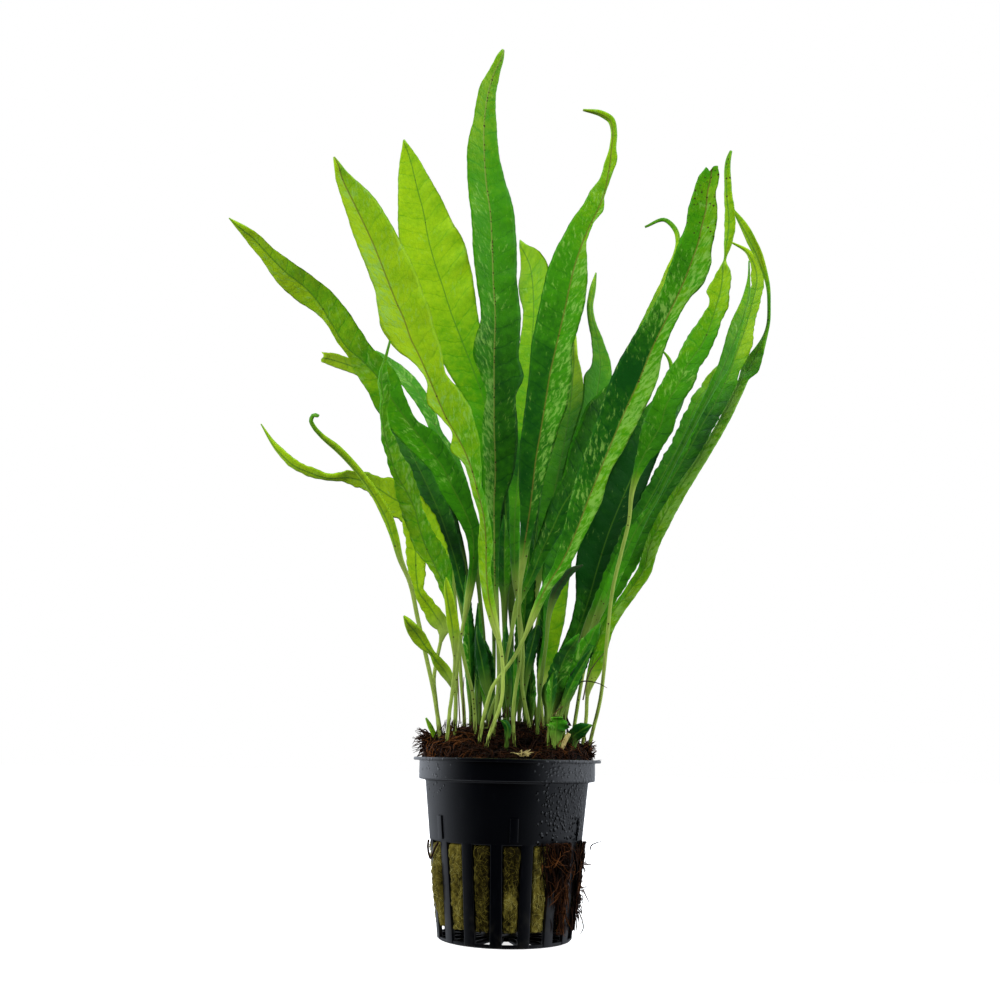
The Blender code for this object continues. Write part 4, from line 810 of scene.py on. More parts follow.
# %% Rows along a frond
MOUND_RADIUS = 24.0 * MM
MOUND_EDGE = 51.0 * MM
MOUND_RISE = 8.5 * MM
FOOT_DEPTH = 6.0 * MM
LEAN_POWER = 1.5
# In points of the frame: half a stalk's width, and how far apart its rows are
PETIOLE_HALF = 1.872
PETIOLE_STEP = 6.0


def mound_height(x, y):
    """The heap of rhizome and roots: a low dome with lumps."""
    share = np.minimum(1.0, np.hypot(x, y) / MOUND_RADIUS)
    dome = MOUND_RISE * (1.0 - share * share) ** 0.8
    lumps = np.sin(x * 420 + 1.3) * np.cos(y * 380 + 0.4) * 0.7 * MM * (1.0 - share)
    return MOUND_EDGE + dome + lumps


def full_station(column, row, left, right=None):
    return column, row, left, left if right is None else right


def frond_rows(frond, row_step):
    """Each row's place on the midrib, row of the frame, half widths, turn and way past the blade's start.

    The last value is the blade's length. Both ways are in points of the frame.
    """
    stations = [(*station, PETIOLE_HALF, PETIOLE_HALF) for station in frond.petiole]
    stations = np.array(stations + [full_station(*station) for station in frond.blade], float)
    knots = np.concatenate([[0.0], np.cumsum(np.hypot(*np.diff(stations[:, :2], axis=0).T))])
    start = knots[len(frond.petiole)]
    stalk = np.linspace(0.0, start, max(3, int(start / PETIOLE_STEP)), endpoint=False)
    blade = np.linspace(start, knots[-1], max(8, int((knots[-1] - start) / row_step)))
    at = np.concatenate([stalk, blade])
    column = curve_through(knots, stations[:, 0], at)
    row = curve_through(knots, stations[:, 1], at)
    share = at / knots[-1]
    near, far = frond.depths
    places = seen_at(column, row, (near + (far - near) * share**LEAN_POWER) * MM)
    foot = places[0].copy()
    foot[:2] *= min(1.0, (MOUND_RADIUS - 1.5 * MM) / math.hypot(*foot[:2]))
    foot[2] = mound_height(foot[0], foot[1]) - FOOT_DEPTH
    fade = np.clip(1.0 - at / knots[1], 0.0, 1.0) ** 2
    places = places + (foot - places[0]) * fade[:, None]
    size = point_size(places)
    left = curve_through(knots, stations[:, 2], at, steady=True) * size
    right = curve_through(knots, stations[:, 3], at, steady=True) * size
    turn = np.radians(frond.turns[0] + (frond.turns[1] - frond.turns[0]) * share)
    return places, row, left, right, turn, at - start, knots[-1] - start


for frond in FRONDS[:2]:
    print(frond.name, "has", len(frond_rows(frond, 3.0)[0]), "rows")

# %% [markdown]
# ## The skin of a frond
#
# Each frond is one closed skin: rows of points run from the left margin over the front to the right
# margin, and back over the rear. A flat strip would look like paper. Four things lift it off its plane,
# all small beside its width:
#
# - it is folded a little along the midrib;
# - its margins ruffle, unevenly and differently on each side;
# - it swells between the side veins, which leave the midrib at a slant;
# - the midrib stands out, more on the rear than on the front, and fades towards the tip.
#
# A stalk is the same skin with a round section, so a stalk grows into its blade without a seam. The
# dice that vary a frond are seeded with its number, so that it comes out the same each time.

# %% The skin of a frond
# Points across, way between rows, and how strong the fold, the ruffles, the swelling and the small bays of
# the margins (nibble) are. A beat is the length of one wave.
Form = namedtuple("Form", "columns row_step fold ruffle beat swell nibble nibble_beat")
FORM = Form(columns=19, row_step=2.8, fold=0.16, ruffle=0.08, beat=21.0 * MM, swell=0.26,
            nibble=0.09 * MM, nibble_beat=8.5 * MM)
SMALL_FORM = FORM._replace(columns=13, row_step=1.4, ruffle=0.18, beat=8.5 * MM, swell=0.35, nibble=0.25 * MM,
                           nibble_beat=5.0 * MM)
CRUMPLED_FORM = SMALL_FORM._replace(columns=17, row_step=0.6, fold=0.3, ruffle=0.35, beat=3.4 * MM, nibble=0.6 * MM,
                                    nibble_beat=3.4 * MM)
BACK_FORM = FORM._replace(columns=13, row_step=5.0)
BLADE_HALF = 0.13 * MM
RIB_FRONT, RIB_REAR = 0.12 * MM, 0.40 * MM
# Where a stalk has turned into a blade: the width at which it starts to, and how much wider it is after
STALK_WIDTH, WIDENING = 1.6 * MM, 2.5 * MM
# Blades whose margins wave more than the others, and two whose tips were torn: place, breadth and depth
WAVY = {"frond_left_low_reaching": 0.35 * MM, "frond_left_low_light": 0.30 * MM, "frond_right_pinched": 0.22 * MM,
        "frond_right_yellow_green": 0.25 * MM, "frond_right_lobed": 0.35 * MM, "frond_left_thin_tipped": 0.25 * MM}
TORN_TIPS = {"frond_right_torn_tip": (-0.25, 0.40, 1.4 * MM), "frond_left_blunt_behind": (0.5, 0.5, 2.0 * MM)}


def unit(vectors):
    return vectors / np.linalg.norm(vectors, axis=-1, keepdims=True)


def way_along(places):
    """The length of the path up to each of its places."""
    return np.concatenate([[0.0], np.cumsum(np.linalg.norm(np.diff(places, axis=0), axis=1))])


def skin_of(frond, form, seed):
    """The rings of a frond, and what its paint and its UV map need to know about them.

    These are each point's share of the half width and its offset from the midrib, then each ring's way
    along the skin, its row of the frame and its way past the blade's start, and last the blade's length.
    """
    places, row, left, right, turn, at, length = frond_rows(frond, form.row_step)
    way = way_along(places)
    along = unit(np.gradient(places, axis=0))
    aside = unit(np.cross(unit(places - EYE), along))
    facing = np.cross(aside, along)

    v = np.linspace(-1.0, 1.0, form.columns)
    u = np.sign(v) * abs(v) ** 1.3
    phase = np.random.default_rng(seed).uniform(0.0, 2 * math.pi, 6)
    wide = np.clip((left + right - STALK_WIDTH) / WIDENING, 0.0, 1.0)
    nibble = WAVY.get(frond.name, form.nibble) * wide * ease(0.0, min(30.0, 0.3 * length), at) / 2
    q = way / form.nibble_beat * 2 * math.pi
    left = left + nibble * (np.sin(q * 2.6 + phase[0]) + np.sin(q * 1.12 + phase[1]))
    right = right + nibble * (np.sin(q * 2.8 + phase[2]) + np.sin(q * 1.04 + phase[3]))
    x = np.where(u < 0, u * left[:, None], u * right[:, None])
    half = (left + right) / 2

    # The margins ruffle, each in its own uneven beat
    wander = way + 3.4 * MM * np.sin(way / (9.1 * MM) + phase[4]) + 0.4 * MM * np.sin(way / (3.1 * MM) + phase[5])
    beat = 2 * math.pi * wander / form.beat
    strong = 0.65 + 0.35 * np.sin(way / (15.0 * MM) + phase[3])
    on_left, on_right = strong * np.sin(beat + phase[0]), (1.3 - strong) * np.sin(beat * 1.37 + phase[2])
    ruffle = np.where(u < 0, on_left[:, None], on_right[:, None]) * form.ruffle * half[:, None] * u**2

    # The blisters between the side veins
    q = (way[:, None] - VEIN_SLOPE * abs(x)) / VEIN_STEP + 0.25 * np.sin(way / (7.0 * MM) + phase[5])[:, None]
    q = q + 0.3 * np.sin(way / (2.9 * MM) + phase[1])[:, None] * abs(u) + np.where(u < 0, 0.5, 0.0)
    bulge = np.sqrt(np.clip(1.0 - (2.0 * (q % 1.0) - 1.0) ** 2, 0.0, 1.0)) - 0.78
    swell = bulge * form.swell * MM * ease(0.04, 0.3, abs(u)) * (1.0 - 0.8 * ease(0.75, 1.0, abs(u)))
    swell = swell * np.clip(half / (3.0 * MM), 0.0, 1.0)[:, None]
    lift = wide[:, None] * (form.fold * half[:, None] * abs(u) ** 1.4 + ruffle + swell)
    rise_out = x * np.tan(turn)[:, None] + lift
    middle = places[:, None] + aside[:, None] * x[..., None] + facing[:, None] * rise_out[..., None]
    out = facing * np.cos(turn)[:, None] - aside * np.sin(turn)[:, None]

    # Front and rear, with the midrib standing out
    fade = 1.0 - 0.75 * way / way[-1]
    rib = np.exp(-((x / (0.5 * MM)) ** 2)) * fade[:, None] * wide[:, None]
    flat = BLADE_HALF * np.sqrt(1.0 - u**6) * wide[:, None]
    round_section = np.sqrt(1.0 - u**2) * half[:, None] * (1.0 - wide[:, None])
    front = middle + out[:, None] * (flat + round_section + RIB_FRONT * rib)[..., None]
    rear = middle - out[:, None] * (flat + round_section + RIB_REAR * rib)[..., None]
    rings = np.concatenate([front, rear[:, -2:0:-1]], axis=1)
    ring_u = np.concatenate([u, u[-2:0:-1]])
    ring_x = np.concatenate([x, x[:, -2:0:-1]], axis=1)
    if frond.name in TORN_TIPS:
        place, breadth, depth = TORN_TIPS[frond.name]
        pull = depth * np.exp(-(((ring_u - place) / breadth) ** 2)) * ease(6.0 * MM, 0.0, way[-1] - way)[:, None]
        rings = rings - along[:, None] * pull[..., None]
    return rings, ring_u, ring_x, way, row, at, length


print("rows and points around in one skin:", skin_of(FRONDS[0], FORM, 0)[0].shape[:2])

# %% [markdown]
# ## Meshes, painted values and pieces
#
# Rings of points become a closed mesh that looks outwards. `paint` stores a value at every point, for the
# finish to read. `add_piece` rides a piece on the plant's body and hides the solid that it stands for.

# %% Mesh helpers
def grid_faces(rows, columns, wraps):
    i = np.arange(rows - 1)[:, None] * columns
    j = np.arange(columns if wraps else columns - 1)
    k = (j + 1) % columns
    return np.stack([i + j, i + k, i + columns + k, i + columns + j], axis=-1).reshape(-1, 4).tolist()


def tube_faces(rows, columns):
    """The faces of a closed tube of rings, with a lid on each end."""
    last = (rows - 1) * columns
    return grid_faces(rows, columns, True) + [list(range(columns))[::-1], list(range(last, last + columns))]


def mesh_of(name, points, faces, material, loose_parts=False):
    """A closed mesh whose faces look outwards."""
    mesh = bpy.data.meshes.new(name)
    mesh.from_pydata(np.asarray(points).reshape(-1, 3).tolist(), [], faces)
    mesh.shade_smooth()
    shape = bmesh.new()
    shape.from_mesh(mesh)
    if loose_parts:
        bmesh.ops.recalc_face_normals(shape, faces=shape.faces)
    elif shape.calc_volume(signed=True) < 0:
        bmesh.ops.reverse_faces(shape, faces=shape.faces)
    shape.to_mesh(mesh)
    shape.free()
    mesh.materials.append(material)
    return mesh


def paint(mesh, name, values):
    """Puts a value on every point of the mesh: the same for all of them, or one for each."""
    on_points = (np.zeros(len(mesh.vertices)) + np.ravel(values)).astype(np.float32)
    mesh.attributes.new(name, "FLOAT", "POINT").data.foreach_set("value", on_points)


def lay_uv(mesh, x, y):
    corners = np.empty(len(mesh.loops), np.int32)
    mesh.loops.foreach_get("vertex_index", corners)
    pairs = np.stack([x.ravel(), y.ravel()], axis=-1)[corners]
    mesh.uv_layers.new(name=VEIN_MAP).data.foreach_set("uv", pairs.astype(np.float32).ravel())


def add_piece(name, mesh, nodes):
    piece = bpy.data.objects.new(name, mesh)
    scene.collection.objects.link(piece)
    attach(piece, "root")
    if nodes:
        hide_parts(*nodes)
    return piece


print("a tube of 3 rings of 4 points has", len(tube_faces(3, 4)), "faces")

# %% [markdown]
# ## Short inner leaves
#
# In the thick of the plant light hardly gets in. A dozen short young leaves fill the space between the
# stalks, and their deep tone is painted shade. They belong to no solid, because they only close gaps. A
# row of numbers each is enough, and they become fronds like the others.

# %% The inner leaves
INNER_FOOT = 726
INNER_TURN = 28
# Column of the foot, lean of the tip, rows of the blade's start, of its widest place and of its tip, half
# width, and millimetres behind the axis
InnerLeaf = namedtuple("InnerLeaf", "name foot lean start widest tip half depth")
INNER_LEAVES = [InnerLeaf("inner_leaf_" + name, *measures) for name, *measures in (
    ("far_left", 471, -5, 700, 640, 575, 6.0, 7),
    ("gap_left", 480, -2, 700, 650, 603, 5.0, 6),
    ("left", 488, -3, 708, 668, 640, 8.0, 3),
    ("over_gap", 505, -1, 600, 565, 515, 7.5, 9),
    ("under_gap", 505, 1, 712, 665, 622, 5.5, 5),
    ("low", 514, -1, 712, 688, 650, 6.0, 1),
    ("middle", 519, 13, 700, 600, 530, 9.0, 8),
    ("middle_low", 531, -1, 716, 690, 655, 5.5, 4),
    ("middle_thin", 541, 0, 708, 660, 596, 4.5, 6),
    ("middle_right", 546, 1, 700, 630, 568, 6.5, 5),
    ("right_low", 549, 7, 712, 688, 656, 5.0, -15),
    ("right", 559, 34, 708, 680, 646, 5.5, -14),
)]


def inner_frond(leaf, number):
    """An inner leaf as a frond: a short stalk, and a blade that is widest at one row."""
    def at_row(row):
        return leaf.foot + leaf.lean * ((INNER_FOOT - row) / (INNER_FOOT - leaf.tip)) ** LEAN_POWER

    rows = [leaf.start, (leaf.start + leaf.widest) / 2, leaf.widest, (leaf.widest + leaf.tip) / 2, leaf.tip]
    halves = [0.5 * leaf.half, 0.85 * leaf.half, leaf.half, 0.75 * leaf.half, 0.6]
    turn = INNER_TURN if number % 2 else -INNER_TURN
    far = leaf.depth + math.copysign(0.03, leaf.depth) * (leaf.start - leaf.tip)
    middle = (INNER_FOOT + leaf.start) / 2
    return Frond(leaf.name, (leaf.depth, far), (turn, -turn), "dark",
                 [(leaf.foot, INNER_FOOT), (at_row(middle), middle)],
                 [(at_row(row), row, half) for row, half in zip(rows, halves)])


INNER_FRONDS = [inner_frond(leaf, number) for number, leaf in enumerate(INNER_LEAVES)]
print(len(INNER_FRONDS), "inner leaves")

# %% [markdown]
# ## Every frond, with its look painted on
#
# A look's rows are found again on the blade, and its tones, painted sheen and spots are spread between
# them. The tone of the stalk passes into that of the blade over its first few millimetres. Fronds at the
# back have a coarser skin, and young ones a finer one.

# %% Build the fronds
# The stalk's tone passes into the blade's between these places, in points past the blade's start
BLEND_START, BLEND_END, BLEND_SHARE = -8.0, 26.0, 0.35
# Every frond reads the patterns at a place of its own, so that no two look alike
PATTERN_SHIFT = 0.37


def full_note(row, left, right=None, sheen_left=0, sheen_right=0, spots=0):
    """One row of a look in full: the row, and the rest in shares of one."""
    return row, left / 100, (left if right is None else right) / 100, sheen_left / 100, sheen_right / 100, spots / 100


def build_frond(frond, seed):
    other_look = INNER_SHADE_LOOKS[seed % 2] if frond.name.startswith("inner") else BACK_LOOK
    finish, stalk, look = LOOKS.get(frond.name, other_look)
    form = BACK_FORM if frond.name.startswith("frond_back") else FORM
    if frond.name.startswith(("young", "inner", "sprout", "leaflet", "frond_wilted")):
        form = SMALL_FORM
    if frond.name == "leaflet_crumpled":
        form = CRUMPLED_FORM
    rings, u, x, way, row, at, length = skin_of(frond, form, seed)
    rows, columns = rings.shape[:2]
    mesh = mesh_of(frond.name, rings, tube_faces(rows, columns), FINISHES[finish])

    # The first row of the skin at or above each noted row, which must not come before the one below it
    notes = np.array([full_note(*note) for note in look])
    first_below = [int(np.argmax(row <= note)) if (row <= note).any() else rows - 1 for note in notes[:, 0]]
    stops = np.maximum.accumulate(np.array(first_below, float)) + np.arange(len(notes)) * 1e-3
    tone_left, tone_right, sheen_left, sheen_right, spots = (
        np.interp(np.arange(rows), stops, notes[:, column])[:, None] for column in range(1, 6)
    )
    blade = ease(BLEND_START, min(BLEND_END, BLEND_SHARE * length), at)[:, None]
    on_stalk, on_blade = stalk / 100, np.where(u < 0, tone_left, tone_right)
    # `tone` holds painted light and shade besides the blade's own green, and `pale` is the painted sheen
    paint(mesh, "tone", on_stalk + (on_blade - on_stalk) * blade)
    paint(mesh, "pale", np.where(u < 0, sheen_left, sheen_right) * blade)
    for name, values in (("spots", spots), ("blade", blade), ("margin", abs(u))):
        paint(mesh, name, np.broadcast_to(values, x.shape))
    lay_uv(mesh, x, np.broadcast_to((way + PATTERN_SHIFT * seed)[:, None], x.shape))
    nodes = [] if frond.name.startswith("inner_leaf") else [frond.name]
    return add_piece(frond.name + ".blade", mesh, nodes)


blades = [build_frond(frond, seed) for seed, frond in enumerate(FRONDS + INNER_FRONDS)]
print(len(blades), "fronds and inner leaves,", sum(len(blade.data.polygons) for blade in blades), "faces")

# %% [markdown]
# ## The net pot's plastic
#
# The pot is injection moulded in black polypropylene. The mould leaves a fine satin grain, and the
# plastic shines a little blue where light grazes it. Handling leaves faint upright scuffs and a film of
# dried minerals near the base. Beads of damp cling to the upper wall. They are only a finish: each cell
# of a pattern is a dome that the light sees. The collar is smoother than the wall, so it has a coat.
# Grain and beads are groups, so any plastic can use them.

# %% The moulded grain group and the pot's finish
SCUFF_SCALE, CLOUD_SCALE, FILM_SCALE = 900.0, 120.0, 260.0
COLLAR_START = 43.0 * MM
FILM_TOP = 20.0 * MM


def on_collar(place):
    """1 on the collar and the lip, 0 on the wall under them."""
    return rise(part(place, "Z"), COLLAR_START, COLLAR_START + 0.6 * MM)


def make_grain_group():
    tree, get, outs = new_group(
        "moulded grain", "ShaderNodeTree", floats(grain_size=2600.0, scuffs=0.3, gloss=0.40, collar_polish=0.12),
        {"Mask": "Float", "Roughness": "Float", "Height": "Float"})
    place = own_place(tree)
    scuffs = mul(rise(noise(stretched(place, (1.0, 1.0, 0.10)), SCUFF_SCALE, 3.0, 0.6), 0.58, 0.80), get["Scuffs"])
    gloss = add(get["Gloss"], mul(scuffs, 0.25))
    gloss = add(gloss, mul(sub(noise(place, CLOUD_SCALE, 3.0), 0.5), 0.16))
    gloss = sub(gloss, mul(on_collar(place), get["Collar polish"]))
    fill(outs, {"Mask": scuffs, "Roughness": gloss,
                "Height": sub(noise(place, get["Grain size"]), mul(scuffs, 0.4))})
    return tree


def make_bead_group():
    """Small beads of damp on the upper wall, thick on the right and thin on the left."""
    tree, get, outs = new_group("beads of damp", "ShaderNodeTree", floats(bead_size=950.0),
                                {"Mask": "Float", "Height": "Float"})
    place = own_place(tree)
    x, z = part(place, "X"), part(place, "Z")
    right = mul(rise(x, 7.0 * MM, 13.0 * MM), rise(z, 25.0 * MM, 32.0 * MM))
    left = mul(rise(x, -12.0 * MM, -18.0 * MM), rise(z, 36.0 * MM, 45.0 * MM))
    where = add(mul(right, 0.85), mul(left, 0.30))
    cells = node(tree, "ShaderNodeTexVoronoi", {"Vector": place, "Scale": get["Bead size"]})
    chosen = maths("LESS_THAN", part(cells.outputs["Color"], "X"), where)
    size = add(0.34, mul(part(cells.outputs["Color"], "Y"), 0.34))
    share = div(cells.outputs["Distance"], size, clamp=True)
    dome = mul(maths("SQRT", sub(1.0, mul(share, share))), chosen)
    fill(outs, {"Mask": rise(dome, 0.0, 0.2), "Height": dome})
    return tree


GRAIN = make_grain_group()
BEADS = make_bead_group()


def make_pot_finish(name, shine):
    material, tree, shader = new_material(name)
    grain, wet, place = place_group(tree, GRAIN, gloss=0.34, scuffs=0.35), place_group(tree, BEADS), own_place(tree)
    film = mul(rise(noise(place, FILM_SCALE, 4.0, 0.6), 0.45, 0.75), rise(part(place, "Z"), FILM_TOP, 0.0))
    black = mix_colour(grain["Mask"], (0.0008, 0.0010, 0.0018, 1.0), (0.006, 0.007, 0.010, 1.0))
    colour = mix_colour(mul(film, 0.30), black, (0.035, 0.033, 0.024, 1.0))
    fill(shader, {"Base Color": mix_colour(wet["Mask"], colour, (0.0006, 0.0008, 0.0012, 1.0)),
                  "Roughness": mul(grain["Roughness"], sub(1.0, mul(wet["Mask"], 0.75))),
                  "Normal": bumped(wet["Height"], 1.0, 1.2 * MM, Normal=bumped(grain["Height"], 0.25, 0.06 * MM)),
                  "Specular IOR Level": shine, "Coat Weight": mul(on_collar(place), 0.8), "Coat Roughness": 0.36})
    return material


POT_FINISH = make_pot_finish("black moulded plastic", 0.5)
# The inside of the base gets a shaded copy of the finish, its shine turned down: painted shade
SHADED_BASE_FINISH = make_pot_finish("black plastic, shine turned down for shade", 0.06)
print("moulded grain:", len(GRAIN.nodes), "nodes")

# %% [markdown]
# ## The turned part of the pot
#
# Lip, collar, shoulder and the plain upper wall are round, so they are one profile turned about the
# axis. The lip is a thin flange, and the collar steps in under it. Each corner of the profile is
# rounded, because a moulding has no knife edges and a rounded corner catches a line of light.

# %% The turned wall, the foot ring and the base
LIP_RADIUS = 27.5 * MM
LIP_THICKNESS = 0.9 * MM
COLLAR_RADIUS = 25.75 * MM
COLLAR_HEIGHT = 6.1 * MM
SHOULDER_RADIUS = 23.8 * MM
SLOT_TOP_RADIUS = 22.0 * MM
FOOT_RADIUS = 19.1 * MM
WALL = 1.1 * MM
BASE_THICKNESS = 1.2 * MM
SLOT_TOP = 26.5 * MM
RIB_COUNT = 16
RIB_WIDTH = 3.3 * MM
FIRST_RIB = math.radians(-6.7)
BASE_SLOT_INNER = 7.0 * MM
BASE_SLOT_OUTER = 18.3 * MM
NUB_COUNT = 6
FIRST_NUB = math.radians(5.6)
NUB_MIDDLE = 30.5 * MM
TURN_STEPS = 128


def rounded(profile, radius, steps=3):
    """A closed profile with an arc in place of every corner."""
    found = []
    for i, corner in enumerate(profile):
        corner = np.array(corner)
        before = np.array(profile[i - 1]) - corner
        after = np.array(profile[(i + 1) % len(profile)]) - corner
        reach = min(radius, 0.45 * np.linalg.norm(before), 0.45 * np.linalg.norm(after))
        start = corner + before / np.linalg.norm(before) * reach
        end = corner + after / np.linalg.norm(after) * reach
        for t in np.linspace(0.0, 1.0, steps):
            found.append((1 - t) ** 2 * start + 2 * t * (1 - t) * corner + t**2 * end)
    return found


def around(angle, radius, height):
    """Places at these angles from the front, turning towards +X."""
    return np.stack(np.broadcast_arrays(radius * np.sin(angle), -radius * np.cos(angle), height), axis=-1)


def turned(profile):
    """Points and faces of a closed profile turned about the axis."""
    ring = np.array(profile)
    points = around((np.arange(TURN_STEPS) * 2 * math.pi / TURN_STEPS)[:, None], ring[:, 0], ring[:, 1])
    i = np.arange(TURN_STEPS)[:, None] * len(ring)
    j = np.roll(i, -1, axis=0)
    k = np.arange(len(ring))
    next_k = np.roll(k, -1)
    faces = np.stack([i + k, i + next_k, j + next_k, j + k], axis=-1).reshape(-1, 4)
    return points.reshape(-1, 3), faces


def wall_radius(height):
    """The outer radius of the tapered wall at this height."""
    if height > SLOT_TOP:
        share = (height - SLOT_TOP) / (POT_HEIGHT - COLLAR_HEIGHT - SLOT_TOP)
        return SLOT_TOP_RADIUS + (SHOULDER_RADIUS - SLOT_TOP_RADIUS) * share
    share = (height - BASE_THICKNESS) / (SLOT_TOP - BASE_THICKNESS)
    return FOOT_RADIUS + (SLOT_TOP_RADIUS - FOOT_RADIUS) * share


wall_radii = np.vectorize(wall_radius)


def together(shapes):
    """The points and the faces of several shapes as those of one."""
    points, faces = [], []
    for more_points, more_faces in shapes:
        faces += [[corner + len(points) for corner in face] for face in more_faces]
        points += list(more_points)
    return np.array(points), faces


SHOULDER = POT_HEIGHT - COLLAR_HEIGHT
UPPER_WALL = [
    (LIP_RADIUS, POT_HEIGHT),
    (LIP_RADIUS, POT_HEIGHT - LIP_THICKNESS),
    (COLLAR_RADIUS, POT_HEIGHT - LIP_THICKNESS),
    (COLLAR_RADIUS, SHOULDER),
    (SHOULDER_RADIUS, SHOULDER - 0.3 * MM),
    (SLOT_TOP_RADIUS, SLOT_TOP),
    (SLOT_TOP_RADIUS - WALL, SLOT_TOP),
    (SHOULDER_RADIUS - WALL, SHOULDER - 0.6 * MM),
    (COLLAR_RADIUS - WALL, SHOULDER + 0.6 * MM),
    (COLLAR_RADIUS - WALL, POT_HEIGHT),
]
FOOT_TOP = 1.0 * MM
FOOT_RING = [(FOOT_RADIUS, FOOT_TOP), (FOOT_RADIUS - 0.3 * MM, 0.0), (BASE_SLOT_OUTER - 0.3 * MM, 0.0),
             (BASE_SLOT_OUTER - 0.3 * MM, FOOT_TOP)]
BASE_PLATE = [(BASE_SLOT_INNER, FOOT_TOP), (BASE_SLOT_INNER, 0.0), (0.2 * MM, 0.0), (0.2 * MM, FOOT_TOP)]
ROUNDINGS = ((UPPER_WALL, 0.35 * MM), (FOOT_RING, 0.25 * MM), (BASE_PLATE, 0.2 * MM))
pot_points, pot_faces = together(turned(rounded(profile, radius)) for profile, radius in ROUNDINGS)
print("turned wall:", len(pot_faces), "faces")

# %% [markdown]
# ## Ribs, spokes and nubs
#
# Under the plain wall stand sixteen ribs with open slots between them. Sixteen short spokes carry the
# base, and six thin nubs sit above some slots. Each is one small rounded bar, repeated around the axis.
# That is work for Geometry Nodes: a bar is drawn once along a line, put on the points of a ring, and
# turned to face outwards. One tree, `bars around the axis`, does all three, with its sizes as inputs.

# %% The tree that sets bars around the axis
def shaped(tree, kind, inputs=None, **settings):
    """The first output of a new geometry node of this kind."""
    return node(tree, "GeometryNode" + kind, inputs, **settings).outputs[0]


def make_bars_tree():
    tree, get, outs = new_group("bars around the axis", "GeometryNodeTree", {
        "Geometry": ("Geometry",), "Material": ("Material",), "Count": ("Int", RIB_COUNT),
        **floats(first_angle=0.0, low_radius=0.02, low_height=0.0, high_radius=0.02, high_height=0.02,
                 width=0.003, thickness=0.001, softness=0.0003),
    }, {"Geometry": "Geometry"})
    line = shaped(tree, "CurvePrimitiveLine", {"Start": vector(tree, get["Low radius"], z=get["Low height"]),
                                               "End": vector(tree, get["High radius"], z=get["High height"])})
    section = shaped(tree, "CurvePrimitiveQuadrilateral", {"Width": get["Width"], "Height": get["Thickness"]})
    soft = shaped(tree, "FilletCurve", {"Curve": section, "Count": 3, "Radius": get["Softness"]}, mode="POLY")
    bar = shaped(tree, "CurveToMesh", {"Curve": line, "Profile Curve": soft, "Fill Caps": True})
    ring = shaped(tree, "Points", {"Count": get["Count"]})
    angle = add(get["First angle"], mul(shaped(tree, "InputIndex"), div(2 * math.pi, get["Count"])))
    placed = shaped(tree, "InstanceOnPoints", {
        "Points": ring, "Instance": bar, "Rotation": vector(tree, z=sub(angle, math.pi / 2))})
    real = shaped(tree, "RealizeInstances", {"Geometry": placed})
    both = node(tree, "GeometryNodeJoinGeometry", {0: get["Geometry"]})
    fill(both, {0: shaped(tree, "SetMaterial", {"Geometry": real, "Material": get["Material"]})})
    fill(outs, {"Geometry": both.outputs[0]})
    return tree


def run_tree(item, tree, values):
    """Puts a tree on an object with these inputs, and returns what it makes as a plain mesh."""
    modifier = item.modifiers.new(tree.name, "NODES")
    modifier.node_group = tree
    names = {socket.name: socket.identifier for socket in tree.interface.items_tree
             if getattr(socket, "in_out", "") == "INPUT"}
    for name, value in values.items():
        modifier[names[name]] = value
    evaluated = item.evaluated_get(bpy.context.evaluated_depsgraph_get())
    made = bpy.data.meshes.new_from_object(evaluated)
    item.modifiers.remove(modifier)
    return made


def scratch_object(name, mesh):
    item = bpy.data.objects.new(name, mesh)
    scene.collection.objects.link(item)
    return item


BARS = make_bars_tree()
print("bars around the axis:", len(BARS.nodes), "nodes")

# %% [markdown]
# ## The pot, put together
#
# The tree runs three times on the turned part, once for each set of bars, and each run adds to the mesh.
# Inside the base the faces get a copy of the finish with its shine turned down: painted shade that
# keeps the inside of the base dark. The result is one plain mesh with sharp edges where a mould would
# have them.

# %% Ribs, spokes and nubs on the turned part
MID_WALL = WALL / 2
NUB_LOW, NUB_HIGH = NUB_MIDDLE - 3.1 * MM, NUB_MIDDLE + 3.1 * MM
BAR_INPUTS = ("Material", "Count", "First angle", "Low radius", "Low height", "High radius", "High height",
              "Width", "Thickness", "Softness")
BAR_SETS = {
    "ribs": (POT_FINISH, RIB_COUNT, FIRST_RIB, FOOT_RADIUS - MID_WALL, 0.4 * MM, SLOT_TOP_RADIUS - MID_WALL,
             SLOT_TOP + 0.3 * MM, RIB_WIDTH, WALL, 0.3 * MM),
    "spokes": (SHADED_BASE_FINISH, RIB_COUNT, FIRST_RIB, BASE_SLOT_INNER - 0.5 * MM, FOOT_TOP / 2,
               BASE_SLOT_OUTER + 0.2 * MM, FOOT_TOP / 2, 1.7 * MM, FOOT_TOP, 0.2 * MM),
    "nubs": (POT_FINISH, NUB_COUNT, FIRST_NUB, wall_radius(NUB_LOW), NUB_LOW, wall_radius(NUB_HIGH), NUB_HIGH,
             2.3 * MM, 0.7 * MM, 0.2 * MM),
}
pot_mesh = mesh_of("pot", pot_points, pot_faces, POT_FINISH)
pot_mesh.materials.append(SHADED_BASE_FINISH)
for face in pot_mesh.polygons:
    face.material_index = int(face.center.z < 1.1 * MM and face.center.xy.length < FOOT_RADIUS - 0.5 * MM)
pot_draft = scratch_object("pot draft", pot_mesh)
for values in BAR_SETS.values():
    pot_draft.data = run_tree(pot_draft, BARS, dict(zip(BAR_INPUTS, values)))
pot_mesh = pot_draft.data
bpy.data.objects.remove(pot_draft)
pot_mesh.set_sharp_from_angle(angle=math.radians(50))
add_piece("net_pot.moulding", pot_mesh, ["net_pot"])
print("pot:", len(pot_mesh.polygons), "faces")

